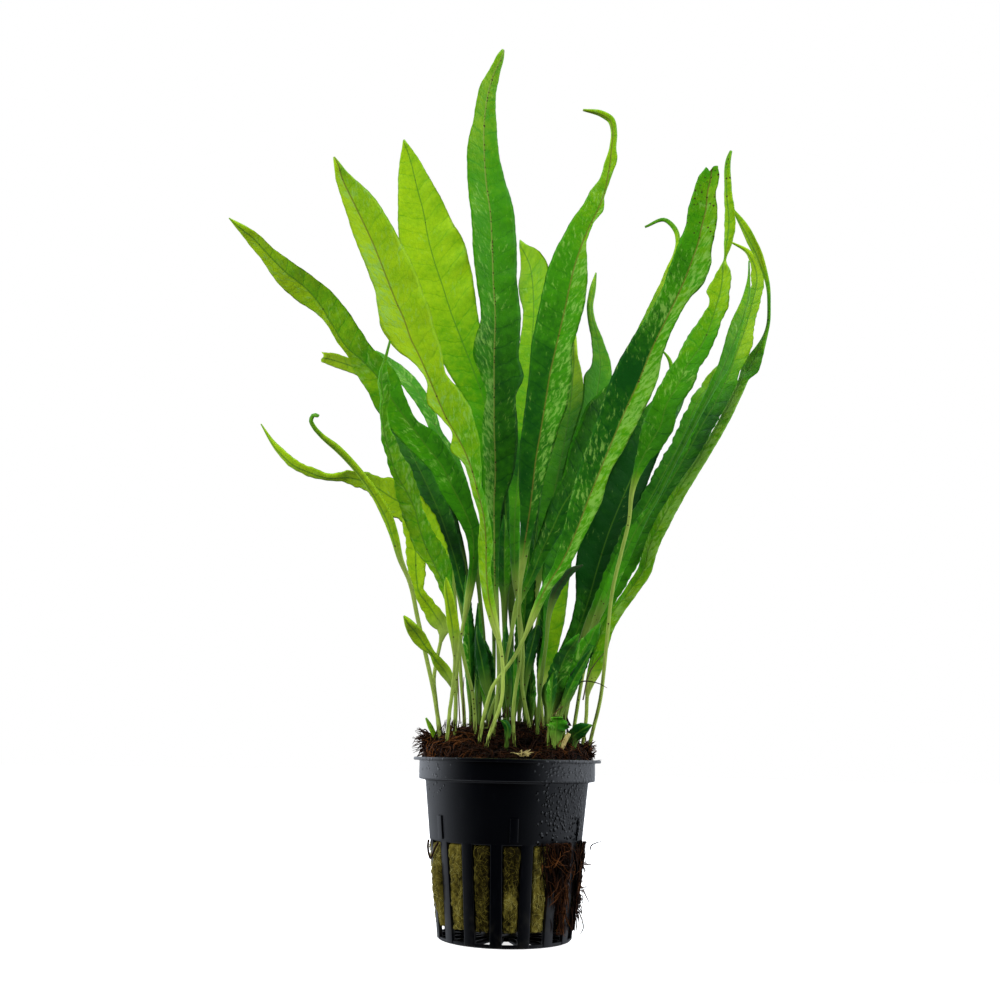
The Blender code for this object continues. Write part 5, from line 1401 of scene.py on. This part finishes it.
# %% [markdown]
# ## A tree for fibres
#
# Rock wool, the root mat and the hanging roots are all fibres that lie on a surface, so one tree makes
# them. It scatters points over the surface, puts a short line on each, and turns the line into the
# surface with a chosen flow. Noise bends the lines, and each point is then set back on the surface, a
# little above it, so that the fibres hug whatever they grow on. A thin round section makes them solid.
# Every fibre keeps a random `shade` for its colour. `cover` is painted on the surface first, and says
# where the fibres are dense.

# %% The tree that lays fibres on a surface
def vector_maths(operation, *values):
    return node(tree_of(*values), "ShaderNodeVectorMath", dict(enumerate(values)), operation=operation).outputs[0]


def scaled(value, factor):
    return node(value.id_data, "ShaderNodeVectorMath", {0: value, "Scale": factor}, operation="SCALE").outputs[0]


def dice(tree, low, high, seed, identity=None):
    values = {2: low, 3: high, "Seed": seed}
    if identity is not None:
        values["ID"] = identity
    return node(tree, "FunctionNodeRandomValue", values, data_type="FLOAT").outputs[1]


def make_fibre_tree():
    tree, get, outs = new_group("fibres on a surface", "GeometryNodeTree", {
        "Geometry": ("Geometry",), "Material": ("Material",), "Flow": ("Vector", (0.0, 0.0, -1.0)),
        "Points": ("Int", 8), "Sides": ("Int", 4), "Seed": ("Int", 1),
        **floats(density=1.0e6, length=0.005, spread=0.4, radius=0.0002, lift=0.001, loose=0.0, flow_share=0.5,
                 wander=0.001, wander_scale=250.0),
    }, {"Geometry": "Geometry"})
    surface = get["Geometry"]
    cover = shaped(tree, "InputNamedAttribute", {"Name": "cover"}, data_type="FLOAT")
    scatter = node(tree, "GeometryNodeDistributePointsOnFaces", {
        "Mesh": surface, "Density": mul(get["Density"], cover), "Seed": get["Seed"]})
    any_way = node(tree, "FunctionNodeRandomValue", {0: (-1, -1, -1), 1: (1, 1, 1), "Seed": get["Seed"]},
                   data_type="FLOAT_VECTOR").outputs[0]
    mixed = node(tree, "ShaderNodeMix", {0: get["Flow share"], 4: any_way, 5: get["Flow"]},
                 data_type="VECTOR").outputs[1]
    turn = node(tree, "FunctionNodeAxesToRotation",
                {"Primary Axis": scatter.outputs["Normal"], "Secondary Axis": mixed},
                primary_axis="X", secondary_axis="Z").outputs["Rotation"]
    line = shaped(tree, "CurvePrimitiveLine", {"Start": (0, 0, -0.5), "End": (0, 0, 0.5)})
    line = shaped(tree, "ResampleCurve", {"Curve": line, "Count": get["Points"]})
    length = mul(get["Length"], dice(tree, sub(1.0, get["Spread"]), add(1.0, get["Spread"]), 11))
    placed = shaped(tree, "InstanceOnPoints", {"Points": scatter.outputs["Points"], "Instance": line,
                                               "Rotation": turn, "Scale": vector(tree, 1.0, 1.0, length)})
    strands = shaped(tree, "RealizeInstances", {"Geometry": placed})

    # The random shade and the bends
    number = node(tree, "GeometryNodeCurveOfPoint").outputs["Curve Index"]
    along = node(tree, "GeometryNodeSplineParameter").outputs["Factor"]
    strands = shaped(tree, "StoreNamedAttribute", {
        "Geometry": strands, "Name": "shade", "Value": dice(tree, 0.0, 1.0, 5, number)},
        data_type="FLOAT", domain="POINT")
    place = shaped(tree, "InputPosition")
    bend = node(tree, "ShaderNodeTexNoise", {
        "Vector": place, "W": dice(tree, 0.0, 60.0, 6, number), "Scale": get["Wander scale"], "Detail": 1.0},
        noise_dimensions="4D").outputs["Color"]
    bend = scaled(vector_maths("SUBTRACT", bend, (0.5, 0.5, 0.5)), get["Wander"])
    bent = shaped(tree, "SetPosition", {"Geometry": strands, "Offset": bend})

    # Back on the surface, a little above it, with loose ends
    here = shaped(tree, "InputPosition")
    nearest = shaped(tree, "Proximity", {0: surface, "Sample Position": here}, target_element="FACES")
    out = shaped(tree, "SampleNearestSurface", {
        "Mesh": surface, "Value": shaped(tree, "InputNormal"), "Sample Position": here}, data_type="FLOAT_VECTOR")
    height = mul(get["Lift"], dice(tree, 0.0, 1.0, 7, number))
    free = mul(rise(dice(tree, 0.0, 1.0, 8, number), 0.55, 1.0), get["Loose"])
    free = mul(free, maths("POWER", along, 1.6))
    lifted = vector_maths("ADD", nearest, scaled(out, add(height, free)))
    laid = shaped(tree, "SetPosition", {"Geometry": bent, "Position": lifted})

    # A round section that is thinner at both ends
    circle = shaped(tree, "CurvePrimitiveCircle", {"Resolution": get["Sides"], "Radius": 1.0})
    ends = maths("ABSOLUTE", sub(mul(along, 2.0), 1.0))
    taper = sub(1.0, mul(maths("POWER", ends, 3.0), 0.65))
    thick = mul(get["Radius"], dice(tree, 0.55, 1.45, 9, number))
    tube = shaped(tree, "CurveToMesh", {
        "Curve": laid, "Profile Curve": circle, "Fill Caps": True, "Scale": mul(thick, taper)})
    finished = shaped(tree, "SetMaterial", {"Geometry": tube, "Material": get["Material"]})
    smooth = shaped(tree, "SetShadeSmooth", {0: finished})
    fill(outs, {"Geometry": shaped(tree, "RealizeInstances", {"Geometry": smooth})})
    return tree


FIBRES = make_fibre_tree()


Coat = namedtuple("Coat", "density length radius lift loose wander wander_scale points sides seed flow flow_share")


def fibres_on(name, points, faces, cover, material, coat, spread=0.4):
    """One coat of fibres over this surface, as a plain mesh. The coat's sizes are in millimetres."""
    mesh = bpy.data.meshes.new(name)
    mesh.from_pydata(np.reshape(points, (-1, 3)).tolist(), [], faces)
    paint(mesh, "cover", cover)
    draft = scratch_object(name + " draft", mesh)
    values = {key.replace("_", " ").capitalize(): value for key, value in coat._asdict().items()}
    for size in ("Length", "Radius", "Lift", "Loose", "Wander"):
        values[size] *= MM
    made = run_tree(draft, FIBRES, {"Material": material, "Spread": spread, **values})
    bpy.data.objects.remove(draft)
    return made


def joined(name, meshes):
    """One mesh from several, with their attributes kept."""
    shape = bmesh.new()
    for mesh in meshes:
        shape.from_mesh(mesh)
    made = bpy.data.meshes.new(name)
    for material in meshes[0].materials:
        made.materials.append(material)
    shape.to_mesh(made)
    shape.free()
    return made


print("fibres on a surface:", len(FIBRES.nodes), "nodes")

# %% [markdown]
# ## Fibre finishes
#
# Both finishes read each fibre's own shade, its painted `light`, and Object coordinates for slow changes
# over the whole mass. Wet roots are nearly black with a red-brown core of young ones. Rock wool is
# undyed mineral fibre, yellowed to olive by algae.

# %% Roots and rock wool
FINE_SCALE = 2500.0


def make_fibre_finish(name, dark, middle, bright, cloud_scale, roughness, gloss):
    material, tree, shader = new_material(name)
    place = own_place(tree)
    cloud, fine = noise(place, cloud_scale, 3.0), noise(place, FINE_SCALE)
    shade = add(mul(attribute(tree, "shade"), 0.55), mul(cloud, 0.62))
    shade = sub(add(shade, mul(attribute(tree, "light"), 0.45)), 0.10)
    colour = mix_colour(rise(shade, 0.15, 0.55), (*dark, 1.0), (*middle, 1.0))
    colour = mix_colour(rise(shade, 0.55, 0.95), colour, (*bright, 1.0))
    colour = mix_colour(mul(rise(fine, 0.55, 0.75), 0.35), colour, (*dark, 1.0))
    fill(shader, {"Base Color": colour, "Roughness": add(roughness, mul(cloud, 0.25)),
                  "Normal": bumped(fine, 0.5, 0.1 * MM), "Specular IOR Level": gloss})
    return material


ROOT_FINISH = make_fibre_finish(
    "roots", dark=(0.0022, 0.0011, 0.0008), middle=(0.018, 0.0065, 0.0028), bright=(0.120, 0.042, 0.010),
    cloud_scale=170.0, roughness=0.42, gloss=0.10)
WOOL_FINISH = make_fibre_finish(
    "rock wool", dark=(0.010, 0.0075, 0.0012), middle=(0.120, 0.100, 0.015), bright=(0.330, 0.300, 0.085),
    cloud_scale=140.0, roughness=0.62, gloss=0.15)
print("finishes:", ROOT_FINISH.name, "and", WOOL_FINISH.name)

# %% [markdown]
# ## The rock wool plug
#
# The plug fills the pot under the roots and swells into every slot. The wool is one lumpy body with
# loose fibres on it, which mostly run up and down, as they were teased in the factory.

# %% The plug's body and its fibres
GAP = 0.3 * MM
WOOL_BOTTOM = 4.2 * MM
WOOL_TOP = 42.6 * MM
WOOL_BULGE = 0.45 * MM
SLOT_STEP = 2 * math.pi / RIB_COUNT
# How bright the wool is in each slot, counted from the front towards +X. The others have 0.5. It is
# partly the wool's own colour and partly painted shade: the front slots, which the side lamps hardly
# reach, and the slots under the clump are darker.
SLOT_LIGHT = {0: 0.10, 1: 0.65, 2: -0.25, 3: -0.25, 11: 0.7, 12: 0.75, 13: 0.65, 14: 0.50, 15: -0.02}
# The pale tuft in the front slot: where it is, and how far it reaches
TUFT_ANGLE, TUFT_HEIGHT, TUFT_HALF, TUFT_RISE = 0.08, 12.2 * MM, 1.9 * MM, 2.8 * MM
# In one slot on the left the wool bulges out
BULGE_ANGLE, BULGE_HALF, BULGE_HEIGHT, BULGE_RISE = math.radians(297), 0.22, 15.0 * MM, 7.0 * MM


def in_slot(angle, height, soft=0.35 * MM):
    """1 in the middle of a slot, 0 behind a rib."""
    from_rib = np.abs((angle - FIRST_RIB + SLOT_STEP / 2) % SLOT_STEP - SLOT_STEP / 2)
    clear = from_rib * wall_radii(height) - RIB_WIDTH / 2
    inside = ease(0.0, soft * 2, clear)
    return inside * ease(SLOT_TOP + 0.1 * MM, SLOT_TOP - 0.8 * MM, height)


WOOL_COLUMNS, WOOL_ROWS = 384, 72
wool_angle = np.arange(WOOL_COLUMNS) * 2 * math.pi / WOOL_COLUMNS
angle_grid, height_grid = np.meshgrid(wool_angle, np.linspace(WOOL_BOTTOM, WOOL_TOP, WOOL_ROWS))
slot_grid = in_slot(angle_grid, height_grid)
lumps = (
    np.sin(angle_grid * 37 + height_grid * 900) * np.sin(height_grid * 1400 + 2.0)
    + 0.7 * np.sin(angle_grid * 83 - height_grid * 1700) * np.cos(height_grid * 2300 + angle_grid * 11)
)
left_bulge = np.exp(-(((angle_grid - BULGE_ANGLE) / BULGE_HALF) ** 2)
                    - ((height_grid - BULGE_HEIGHT) / BULGE_RISE) ** 2)
wool_radius = wall_radii(height_grid) - WALL - GAP - 0.25 * MM
wool_radius += (WALL + WOOL_BULGE * 0.7 + 1.6 * MM * left_bulge) * slot_grid**0.6
wool_radius += 0.30 * MM * lumps * (0.3 + 0.7 * slot_grid)
wool_points = around(angle_grid, wool_radius, height_grid)
wool_faces = tube_faces(WOOL_ROWS, WOOL_COLUMNS)


def wool_light(angle, height):
    """How bright the wool is: by slot, with one pale tuft low in the front slot and darker wool above it."""
    number = ((angle - FIRST_RIB) // SLOT_STEP).astype(int) % RIB_COUNT
    light = np.vectorize(lambda slot: SLOT_LIGHT.get(int(slot), 0.5))(number)
    to_tuft = ((angle - TUFT_ANGLE + math.pi) % (2 * math.pi) - math.pi) * 21.0 * MM
    tuft = np.exp(-((to_tuft / TUFT_HALF) ** 2) - ((height - TUFT_HEIGHT) / TUFT_RISE) ** 2)
    darker_above = ease(14.5 * MM, 17.5 * MM, height) * (number == 0)
    return light + 0.75 * tuft - 0.38 * darker_above


wool_body = mesh_of("wool", wool_points, wool_faces, WOOL_FINISH)
paint(wool_body, "shade", 0.25 + 0.25 * np.clip(lumps, -1, 1))
paint(wool_body, "light", wool_light(angle_grid, height_grid) - 0.35)


def angle_and_height(mesh):
    """The angle from the front and the height of every point of a mesh."""
    places = np.empty(len(mesh.vertices) * 3, np.float32)
    mesh.vertices.foreach_get("co", places)
    x, y, z = places.reshape(-1, 3).T
    return np.arctan2(x, -y), z


WOOL_COAT = Coat(2.4e6, length=2.0, radius=0.055, lift=0.25, loose=0.25, wander=1.1, wander_scale=650.0, points=5,
                 sides=3, seed=3, flow=(0.15, 0.0, -1.0), flow_share=0.35)
wool_fibres = fibres_on("wool fibres", wool_points, wool_faces[:-2], slot_grid * (slot_grid > 0.35), WOOL_FINISH,
                        WOOL_COAT, spread=0.5)
paint(wool_fibres, "light", wool_light(*angle_and_height(wool_fibres)) - 0.15)
wool_mesh = joined("rock wool", [wool_body, wool_fibres])
add_piece("rock_wool_plug.wool", wool_mesh, ["rock_wool_plug"])
print("rock wool:", len(wool_mesh.polygons), "faces")

# %% [markdown]
# ## The root mat
#
# A java fern's roots are thin, branched and matted. The heap that the fronds stand in is a low dome of
# felted roots over the buried rhizome: a lumpy body, then three coats of roots. The first lies close,
# the second is loose, and the third is short, springy ends that stand up.

# %% The mound of roots
MOUND_BOTTOM = 44.6 * MM
MOUND_COLUMNS, MOUND_ROWS = 96, 30


def ridges(x, y):
    """A felt of crossing ridges, a fraction of a millimetre high."""
    first = np.sin(x * 2600 + 3 * np.sin(y * 700)) * np.cos(y * 2100 + 2 * np.sin(x * 900))
    second = np.sin((x + y) * 1300 + 1.0) * np.cos((x - y) * 1500)
    return 0.35 * MM * first + 0.5 * MM * second


mound_angle = np.arange(MOUND_COLUMNS) * 2 * math.pi / MOUND_COLUMNS
mound_radius = MOUND_RADIUS * np.linspace(1.0, 0.02, MOUND_ROWS)
mound_x, mound_y, _ = np.moveaxis(around(mound_angle, mound_radius[:, None], 0.0), -1, 0)


def near(x, y, reach):
    """1 at this place on the heap, fading out over its reach."""
    return np.exp(-((mound_x - x) ** 2 + (mound_y - y) ** 2) / reach**2)


left_heap = near(-15.5 * MM, -10.0 * MM, 8.0 * MM)
front_hollow = near(-3.0 * MM, -15.0 * MM, 9.0 * MM) + near(7.0 * MM, -15.0 * MM, 6.0 * MM)
right_heap = near(12.0 * MM, -15.0 * MM, 4.5 * MM)
mound_z = mound_height(mound_x, mound_y) + ridges(mound_x, mound_y) - 0.7 * MM
mound_z += (1.2 * left_heap - 4.0 * front_hollow + 0.8 * right_heap) * MM
mound_z = np.maximum(mound_z, MOUND_BOTTOM + 3.4 * MM)
# The front hollow is painted darker: painted shade in the hollow
mound_light = 0.50 * left_heap - 0.40 * front_hollow + 0.35 * right_heap - 0.15
# A skirt and a side under the heap make the closed body. The fibres lie on the heap and on its rim only.
top_points = np.stack([mound_x, mound_y, mound_z], axis=-1)
skirt = around(mound_angle, 21.8 * MM, MOUND_BOTTOM)[None]
side = around(mound_angle, MOUND_RADIUS, MOUND_BOTTOM + 1.6 * MM)[None]
mound_points = np.concatenate([skirt, side, top_points])
mound_body = mesh_of("mound", mound_points, tube_faces(len(mound_points), MOUND_COLUMNS), ROOT_FINISH)
paint(mound_body, "shade", 0.15)
paint(mound_body, "light", -0.3)
rim = around(mound_angle, MOUND_RADIUS, POT_HEIGHT - 0.4 * MM)[None]
top_faces = grid_faces(MOUND_ROWS + 1, MOUND_COLUMNS, True)
flat_points = np.concatenate([rim, top_points]).reshape(-1, 3)
flat_light = np.concatenate([mound_light[:1], mound_light]).ravel()
UPWARD = (0.0, 0.0, 1.0)
# Each coat with how much lighter than the mound it is
MOUND_COATS = [
    (Coat(0.36e6, 9.0, 0.19, 1.1, 0.6, 5.0, 180.0, points=10, sides=4, seed=21, flow=UPWARD, flow_share=0.0), 0.0),
    (Coat(0.40e6, 7.0, 0.10, 1.2, 1.8, 4.0, 260.0, points=9, sides=3, seed=22, flow=UPWARD, flow_share=0.0), 0.10),
    (Coat(0.20e6, 4.5, 0.11, 0.6, 3.6, 3.0, 400.0, points=7, sides=3, seed=23, flow=UPWARD, flow_share=0.0), 0.45),
]


def tree_over(places):
    """A tree that finds the nearest of these places."""
    tree = KDTree(len(places))
    for number, place in enumerate(places):
        tree.insert(place, number)
    tree.balance()
    return tree


mound_tree = tree_over(flat_points)
mound_parts = [mound_body]
for coat, lighter in MOUND_COATS:
    roots = fibres_on("mound roots", flat_points, top_faces, 1.0, ROOT_FINISH, coat)
    paint(roots, "light", [flat_light[mound_tree.find(vertex.co)[1]] + lighter for vertex in roots.vertices])
    mound_parts.append(roots)
mound_mesh = joined("root mound", mound_parts)
add_piece("root_mound.mat", mound_mesh, ["root_mound"])
print("root mound:", len(mound_mesh.polygons), "faces")

# %% [markdown]
# ## The clump that grew out of the slots
#
# On the right, roots have grown out through the slots and hang down outside as a dark, wet clump. It
# lies on the wall, thickest over the slots, and hides the first rib in its upper part. Its carrier
# surface is only there for the fibres, and isn't kept. `cover` holds the fibres back over the other ribs.

# %% The hanging clump
CLUMP_FIRST, CLUMP_LAST = math.radians(26), math.radians(88)
CLUMP_LOW, CLUMP_HIGH = 3.4 * MM, SLOT_TOP + 0.6 * MM
CLUMP_COLUMNS, CLUMP_ROWS = 40, 30
CLUMP_PROUD = 0.45 * MM
angle_grid, height_grid = np.meshgrid(np.linspace(CLUMP_FIRST, CLUMP_LAST, CLUMP_COLUMNS),
                                      np.linspace(CLUMP_LOW, CLUMP_HIGH, CLUMP_ROWS))
clump_lumps = np.sin(angle_grid * 14.0 + height_grid * 300) * np.sin(height_grid * 420 + 1.0)
clump_radius = wall_radii(height_grid) + WOOL_BULGE + CLUMP_PROUD * (0.75 + 0.45 * clump_lumps)
clump_points = around(angle_grid, clump_radius, height_grid)
over_slot = in_slot(angle_grid, np.minimum(height_grid, SLOT_TOP - 1.0 * MM), 0.8 * MM)
upper = ease(11.0 * MM, 17.0 * MM, height_grid) * (angle_grid < math.radians(50))
clump_cover = 0.02 + 0.95 * over_slot + 0.85 * upper * (1.0 - over_slot)
start = CLUMP_FIRST + 0.14 * ease(21 * MM, 13 * MM, height_grid)
clump_cover *= ease(start - 0.06, start + 0.16, angle_grid)
DOWN, ASLANT = (0.1, 0.0, -1.0), (0.3, 0.0, -1.0)
# Each coat with its brightness. The innermost one is dark, and the loose ends outside are the brightest.
CLUMP_COATS = [
    (Coat(2.0e6, 5.0, 0.17, -0.9, 0.0, 2.2, 230.0, points=7, sides=3, seed=30, flow=DOWN, flow_share=0.75), -0.55),
    (Coat(0.8e6, 6.0, 0.15, 0.7, 0.4, 2.6, 250.0, points=9, sides=4, seed=31, flow=DOWN, flow_share=0.72), -0.12),
    (Coat(0.4e6, 6.0, 0.10, 1.2, 2.4, 4.0, 260.0, points=9, sides=3, seed=32, flow=ASLANT, flow_share=0.45), 0.32),
]
# A streak of bright young roots low in the clump: where it is, and how wide
BRIGHT_ANGLE, BRIGHT_HALF = 0.92, 0.16
clump_faces = grid_faces(CLUMP_ROWS, CLUMP_COLUMNS, False)
clump_parts = []
for coat, brightness in CLUMP_COATS:
    roots = fibres_on("clump", clump_points, clump_faces, clump_cover, ROOT_FINISH, coat)
    angle, height = angle_and_height(roots)
    in_streak = np.exp(-(((angle - BRIGHT_ANGLE) / BRIGHT_HALF) ** 2)) * ease(20 * MM, 10 * MM, height)
    paint(roots, "light", 0.30 * in_streak + brightness)
    clump_parts.append(roots)
clump_mesh = joined("root clump", clump_parts)
add_piece("root_clump_right.strands", clump_mesh, ["root_clump_right"])
print("root clump:", len(clump_mesh.polygons), "faces")

# %% [markdown]
# ## Single roots
#
# A few roots stand clear of the rest, and these are drawn one by one. `strand` makes a tube along a
# path: rings of a few points, thin at the end, closed by lids. Loose ends beside the clump are strands
# too, thrown by seeded dice, because nobody sees which end belongs where.

# %% Strands
def strand(path, radius, sides=5, tip=0.35, steps=14):
    """A closed tube along a smooth path, thinner at its end. Gives points and faces."""
    path = np.asarray(path, float)
    knots = way_along(path)
    at = np.linspace(0.0, knots[-1], steps)
    places = np.stack([curve_through(knots, path[:, axis], at) for axis in range(3)], axis=-1)
    along = unit(np.gradient(places, axis=0))
    side = unit(np.cross(along, (0.31, 0.87, 0.38)))
    other = np.cross(along, side)
    turn = np.arange(sides) * 2 * math.pi / sides
    thick = radius * np.interp(at / knots[-1], [0.0, 0.6, 1.0], [1.0, 0.85, tip])[:, None, None]
    rings = places[:, None] + thick * (side[:, None] * np.cos(turn)[:, None] + other[:, None] * np.sin(turn)[:, None])
    return rings.reshape(-1, 3), tube_faces(steps, sides)


def seen_path(route):
    """The path through points of the frame, each a column, a row and a depth in millimetres."""
    columns, rows, depths = np.array(route, float).T
    return seen_at(columns, rows, depths * MM)


def add_bundle(name, strands, node_name, finish=ROOT_FINISH):
    """One piece of several strands, each with its own shade."""
    points, faces = together(shape for shape, _ in strands)
    mesh = mesh_of(name, points, faces, finish, loose_parts=True)
    paint(mesh, "shade", np.concatenate([np.full(len(shape[0]), shade) for shape, shade in strands]))
    return add_piece(name, mesh, [node_name])


STRAY_SHADES = {"root_stray_high": 0.75, "root_stray_middle": 0.55, "root_stray_low": 0.5, "root_over_lip": 0.45}
for name, route in STRAY_ROOTS.items():
    add_bundle(name + ".strand", [(strand(seen_path(route), 0.2 * MM, sides=6), STRAY_SHADES[name])], name)

# Loose ends beside the clump, seen against the backdrop
CLUMP_ENDS = 34
dice_roots = np.random.default_rng(61)
ends = []
for _ in range(CLUMP_ENDS):
    column, row, depth = dice_roots.uniform(574, 580), dice_roots.uniform(846, 915), dice_roots.uniform(-8, 3)
    reach, drop = dice_roots.uniform(3, 13) * (1.0 if row < 890 else 0.6), dice_roots.uniform(-4, 12)
    route = [(column, row, depth), (column + reach * 0.6, row + drop * 0.3 + dice_roots.uniform(-2, 2), depth),
             (column + reach, row + drop, depth)]
    end = strand(seen_path(route), dice_roots.uniform(0.13, 0.24) * MM, 4, 0.4, 8)
    ends.append((end, dice_roots.uniform(0.2, 0.9)))
add_bundle("root_clump_right.ends", ends, "root_clump_right")

loop_share = np.linspace(0.0, 1.0, 9)
loop_angle = np.radians(-80 + 23 * loop_share)
loop_height = SLOT_TOP - 0.2 * MM - 4.6 * MM * (1.0 - abs(2 * loop_share - 1.0) ** 1.4)
loop_radius = wall_radii(loop_height) + WOOL_BULGE + 0.75 * MM * np.sin(math.pi * loop_share) ** 0.5
loop = strand(around(loop_angle, loop_radius, loop_height), 0.34 * MM, 6, 0.9, 24)
add_bundle("root_loop_left.strand", [(loop, 0.62)], "root_loop_left")
print("single strands:", len(STRAY_ROOTS) + 1)

# %% [markdown]
# ## Tufts of the mat
#
# At the left and at the right some roots start in the mat and lean out over the lip. Each tuft is a
# handful of strands that end inside a small ball, each bent by its own throw of the dice.

# %% Tufts
def tuft(name, angle, radii, count, seed):
    """Strands from the mat's edge that lean out over the lip, inside the tuft's own ball."""
    chance = np.random.default_rng(seed)
    outward, aside, tall = radii
    centre = around(angle, MOUND_RADIUS + GAP + outward, POT_HEIGHT + GAP + tall)
    out, across = around(angle, 1.0, 0.0), around(angle + math.pi / 2, 1.0, 0.0)
    strands = []
    for _ in range(count):
        start = centre - out * outward * chance.uniform(1.2, 3.2) + across * aside * chance.uniform(-0.9, 0.9)
        start[2] += tall * chance.uniform(-0.6, 0.7)
        way = unit(chance.normal(0.0, 1.0, 3))
        end = centre + out * outward * way[0] + across * aside * way[1] * 1.1 + np.array([0, 0, tall * way[2] * 1.15])
        middle = (start + end) / 2 + chance.normal(0.0, 0.5, 3) * MM
        root = strand([start, middle, end], chance.uniform(0.12, 0.27) * MM, 4, 0.4, 9)
        strands.append((root, chance.uniform(0.25, 1.0)))
    add_bundle(name + ".strands", strands, name)


TUFT_COUNTS = {"root_tuft_left": 75, "root_tuft_right": 45}
for seed, (name, (angle, radii)) in enumerate(TUFTS.items(), start=41):
    tuft(name, angle, radii, TUFT_COUNTS[name], seed)
    print(name, "has", TUFT_COUNTS[name], "strands")

# %% [markdown]
# ## Roots at the feet of the stalks
#
# The mat doesn't end where the stalks begin: thin roots climb each stalk's foot for a few millimetres.
# They hide the line where a stalk goes into the heap. A search tree finds the height of the heap there.

# %% Roots that climb the feet of the stalks
ROOTS_PER_FOOT = 14
FLATTEN = (1.0, 1.0, 0.0)
ground = tree_over(flat_points * FLATTEN)
dice_feet = np.random.default_rng(63)
climbers = []
for frond in FRONDS:
    path = frond_rows(frond, 3.0)[0]
    levels = np.array([flat_points[ground.find(place)[1]][2] for place in path * FLATTEN])
    foot = path[np.argmax(path[:, 2] > levels)]
    for _ in range(ROOTS_PER_FOOT):
        angle, lean = dice_feet.uniform(0, 2 * math.pi), dice_feet.uniform(1.0, 2.4) * MM
        out, rise_up = around(angle, 1.0, 0.0), np.array([0.0, 0.0, dice_feet.uniform(0.5, 3.0) * MM])
        route = [foot + out * lean - (0, 0, 0.8 * MM), foot + out * 1.1 * MM + rise_up * 0.4,
                 foot + out * 0.9 * MM + rise_up]
        climbers.append((strand(route, dice_feet.uniform(0.09, 0.17) * MM, 3, 0.4, 6), dice_feet.uniform(0.0, 0.9)))
add_bundle("root_mound.climbing_roots", climbers, "root_mound")
print("climbing roots:", len(climbers))

# %% [markdown]
# ## Cut stubs and dead stems
#
# Two old petioles were cut off short. They are pale straw, ribbed along their length, with a darker,
# slightly sunken cut. Some thin dead stems still stand between the live ones.

# %% Stubs and dead stems
def make_straw_finish():
    material, tree, shader = new_material("dry stalk")
    lines = noise(stretched(own_place(tree), (1.0, 1.0, 0.15)), STALK_GRAIN_SCALE, 3.0, 0.6)
    colour = mix_colour(rise(lines, 0.35, 0.7), (0.46, 0.40, 0.15, 1.0), (0.22, 0.17, 0.05, 1.0))
    colour = mix_colour(attribute(tree, "shade"), colour, (0.045, 0.022, 0.008, 1.0))
    fill(shader, {"Base Color": colour, "Roughness": add(0.45, mul(lines, 0.3)),
                  "Normal": bumped(lines, 0.5, 0.1 * MM)})
    return material


STRAW_FINISH = make_straw_finish()
STUB_SIDES = 16
# How far up its length each ring of a stub is, how wide it is and how dark. The last two are the dish.
STUB_RINGS = [(-0.8, 1.06, 0.3), (0.0, 1.0, 0.1), (0.5, 0.92, 0.0), (0.93, 0.86, 0.0), (1.0, 0.80, 0.1),
              (0.995, 0.62, 0.45), (0.96, 0.45, 0.75)]


def stub_mesh(stub):
    """A round peg whose top is a shallow dish, darker inside."""
    foot, top = seen_path([(stub.column, stub.row, stub.depth), (stub.top_column, stub.top_row, stub.depth)])
    foot[2] = mound_height(foot[0], foot[1])
    along = unit(top - foot)
    side = unit(np.cross(along, (0.0, 1.0, 0.0)))
    turn = np.arange(STUB_SIDES) * 2 * math.pi / STUB_SIDES
    section = side * np.cos(turn)[:, None] + np.cross(along, side) * np.sin(turn)[:, None]
    rings = []
    for share, wide, _ in STUB_RINGS:
        centre = foot + along * share * (stub.length if share > 0 else 1.0 * MM)
        wobble = 1.0 + 0.06 * np.sin(turn * 3 + share * 4)
        rings.append(centre + section * (wobble * wide * stub.radius)[:, None])
    mesh = mesh_of(stub.name, rings, tube_faces(len(rings), STUB_SIDES), STRAW_FINISH)
    paint(mesh, "shade", np.repeat([shade for _, _, shade in STUB_RINGS], STUB_SIDES))
    return mesh


for stub in CUT_STUBS:
    add_piece(stub.name + ".stalk", stub_mesh(stub), [stub.name])

DEAD_STEMS = [
    [(460, 724, -6), (459, 705, -7), (458, 676, -9)],
    [(464, 724, -3), (463, 700, -4), (464, 677, -6)],
    [(583, 700, -10), (590, 672, -9), (598, 660, -9), (604, 653, -9)],
    [(546, 742, -14), (549, 725, -15), (556, 712, -15), (563, 706, -15)],
]
dead = [(strand(seen_path(route), 0.22 * MM, 5, 0.5, 12), 0.9) for route in DEAD_STEMS]

# The tuft of pale straw at the front of the mound, around this column, row and depth
STRAW_PLACE = np.array([524.0, 757.0, -24.6])
STRAWS = 26
dice_straw = np.random.default_rng(62)
straws = []
for _ in range(STRAWS):
    start = STRAW_PLACE + (dice_straw.uniform(-4, 5), -dice_straw.uniform(0, 1.5), 0.0)
    end = (start[0] + dice_straw.normal(0, 7), STRAW_PLACE[1] - dice_straw.uniform(2, 8),
           STRAW_PLACE[2] + dice_straw.uniform(-0.6, 2))
    route = [start, (start + end) / 2 + (0, -1, 0), end]
    straws.append((strand(seen_path(route), 0.16 * MM, 4, 0.4, 6), dice_straw.uniform(0.0, 0.5)))
add_bundle("root_mound.pale_tuft", straws, "root_mound", STRAW_FINISH)
add_bundle("root_mound.dead_stems", dead, "root_mound", STRAW_FINISH)
print("stubs:", len(CUT_STUBS), "and dead stems:", len(DEAD_STEMS))
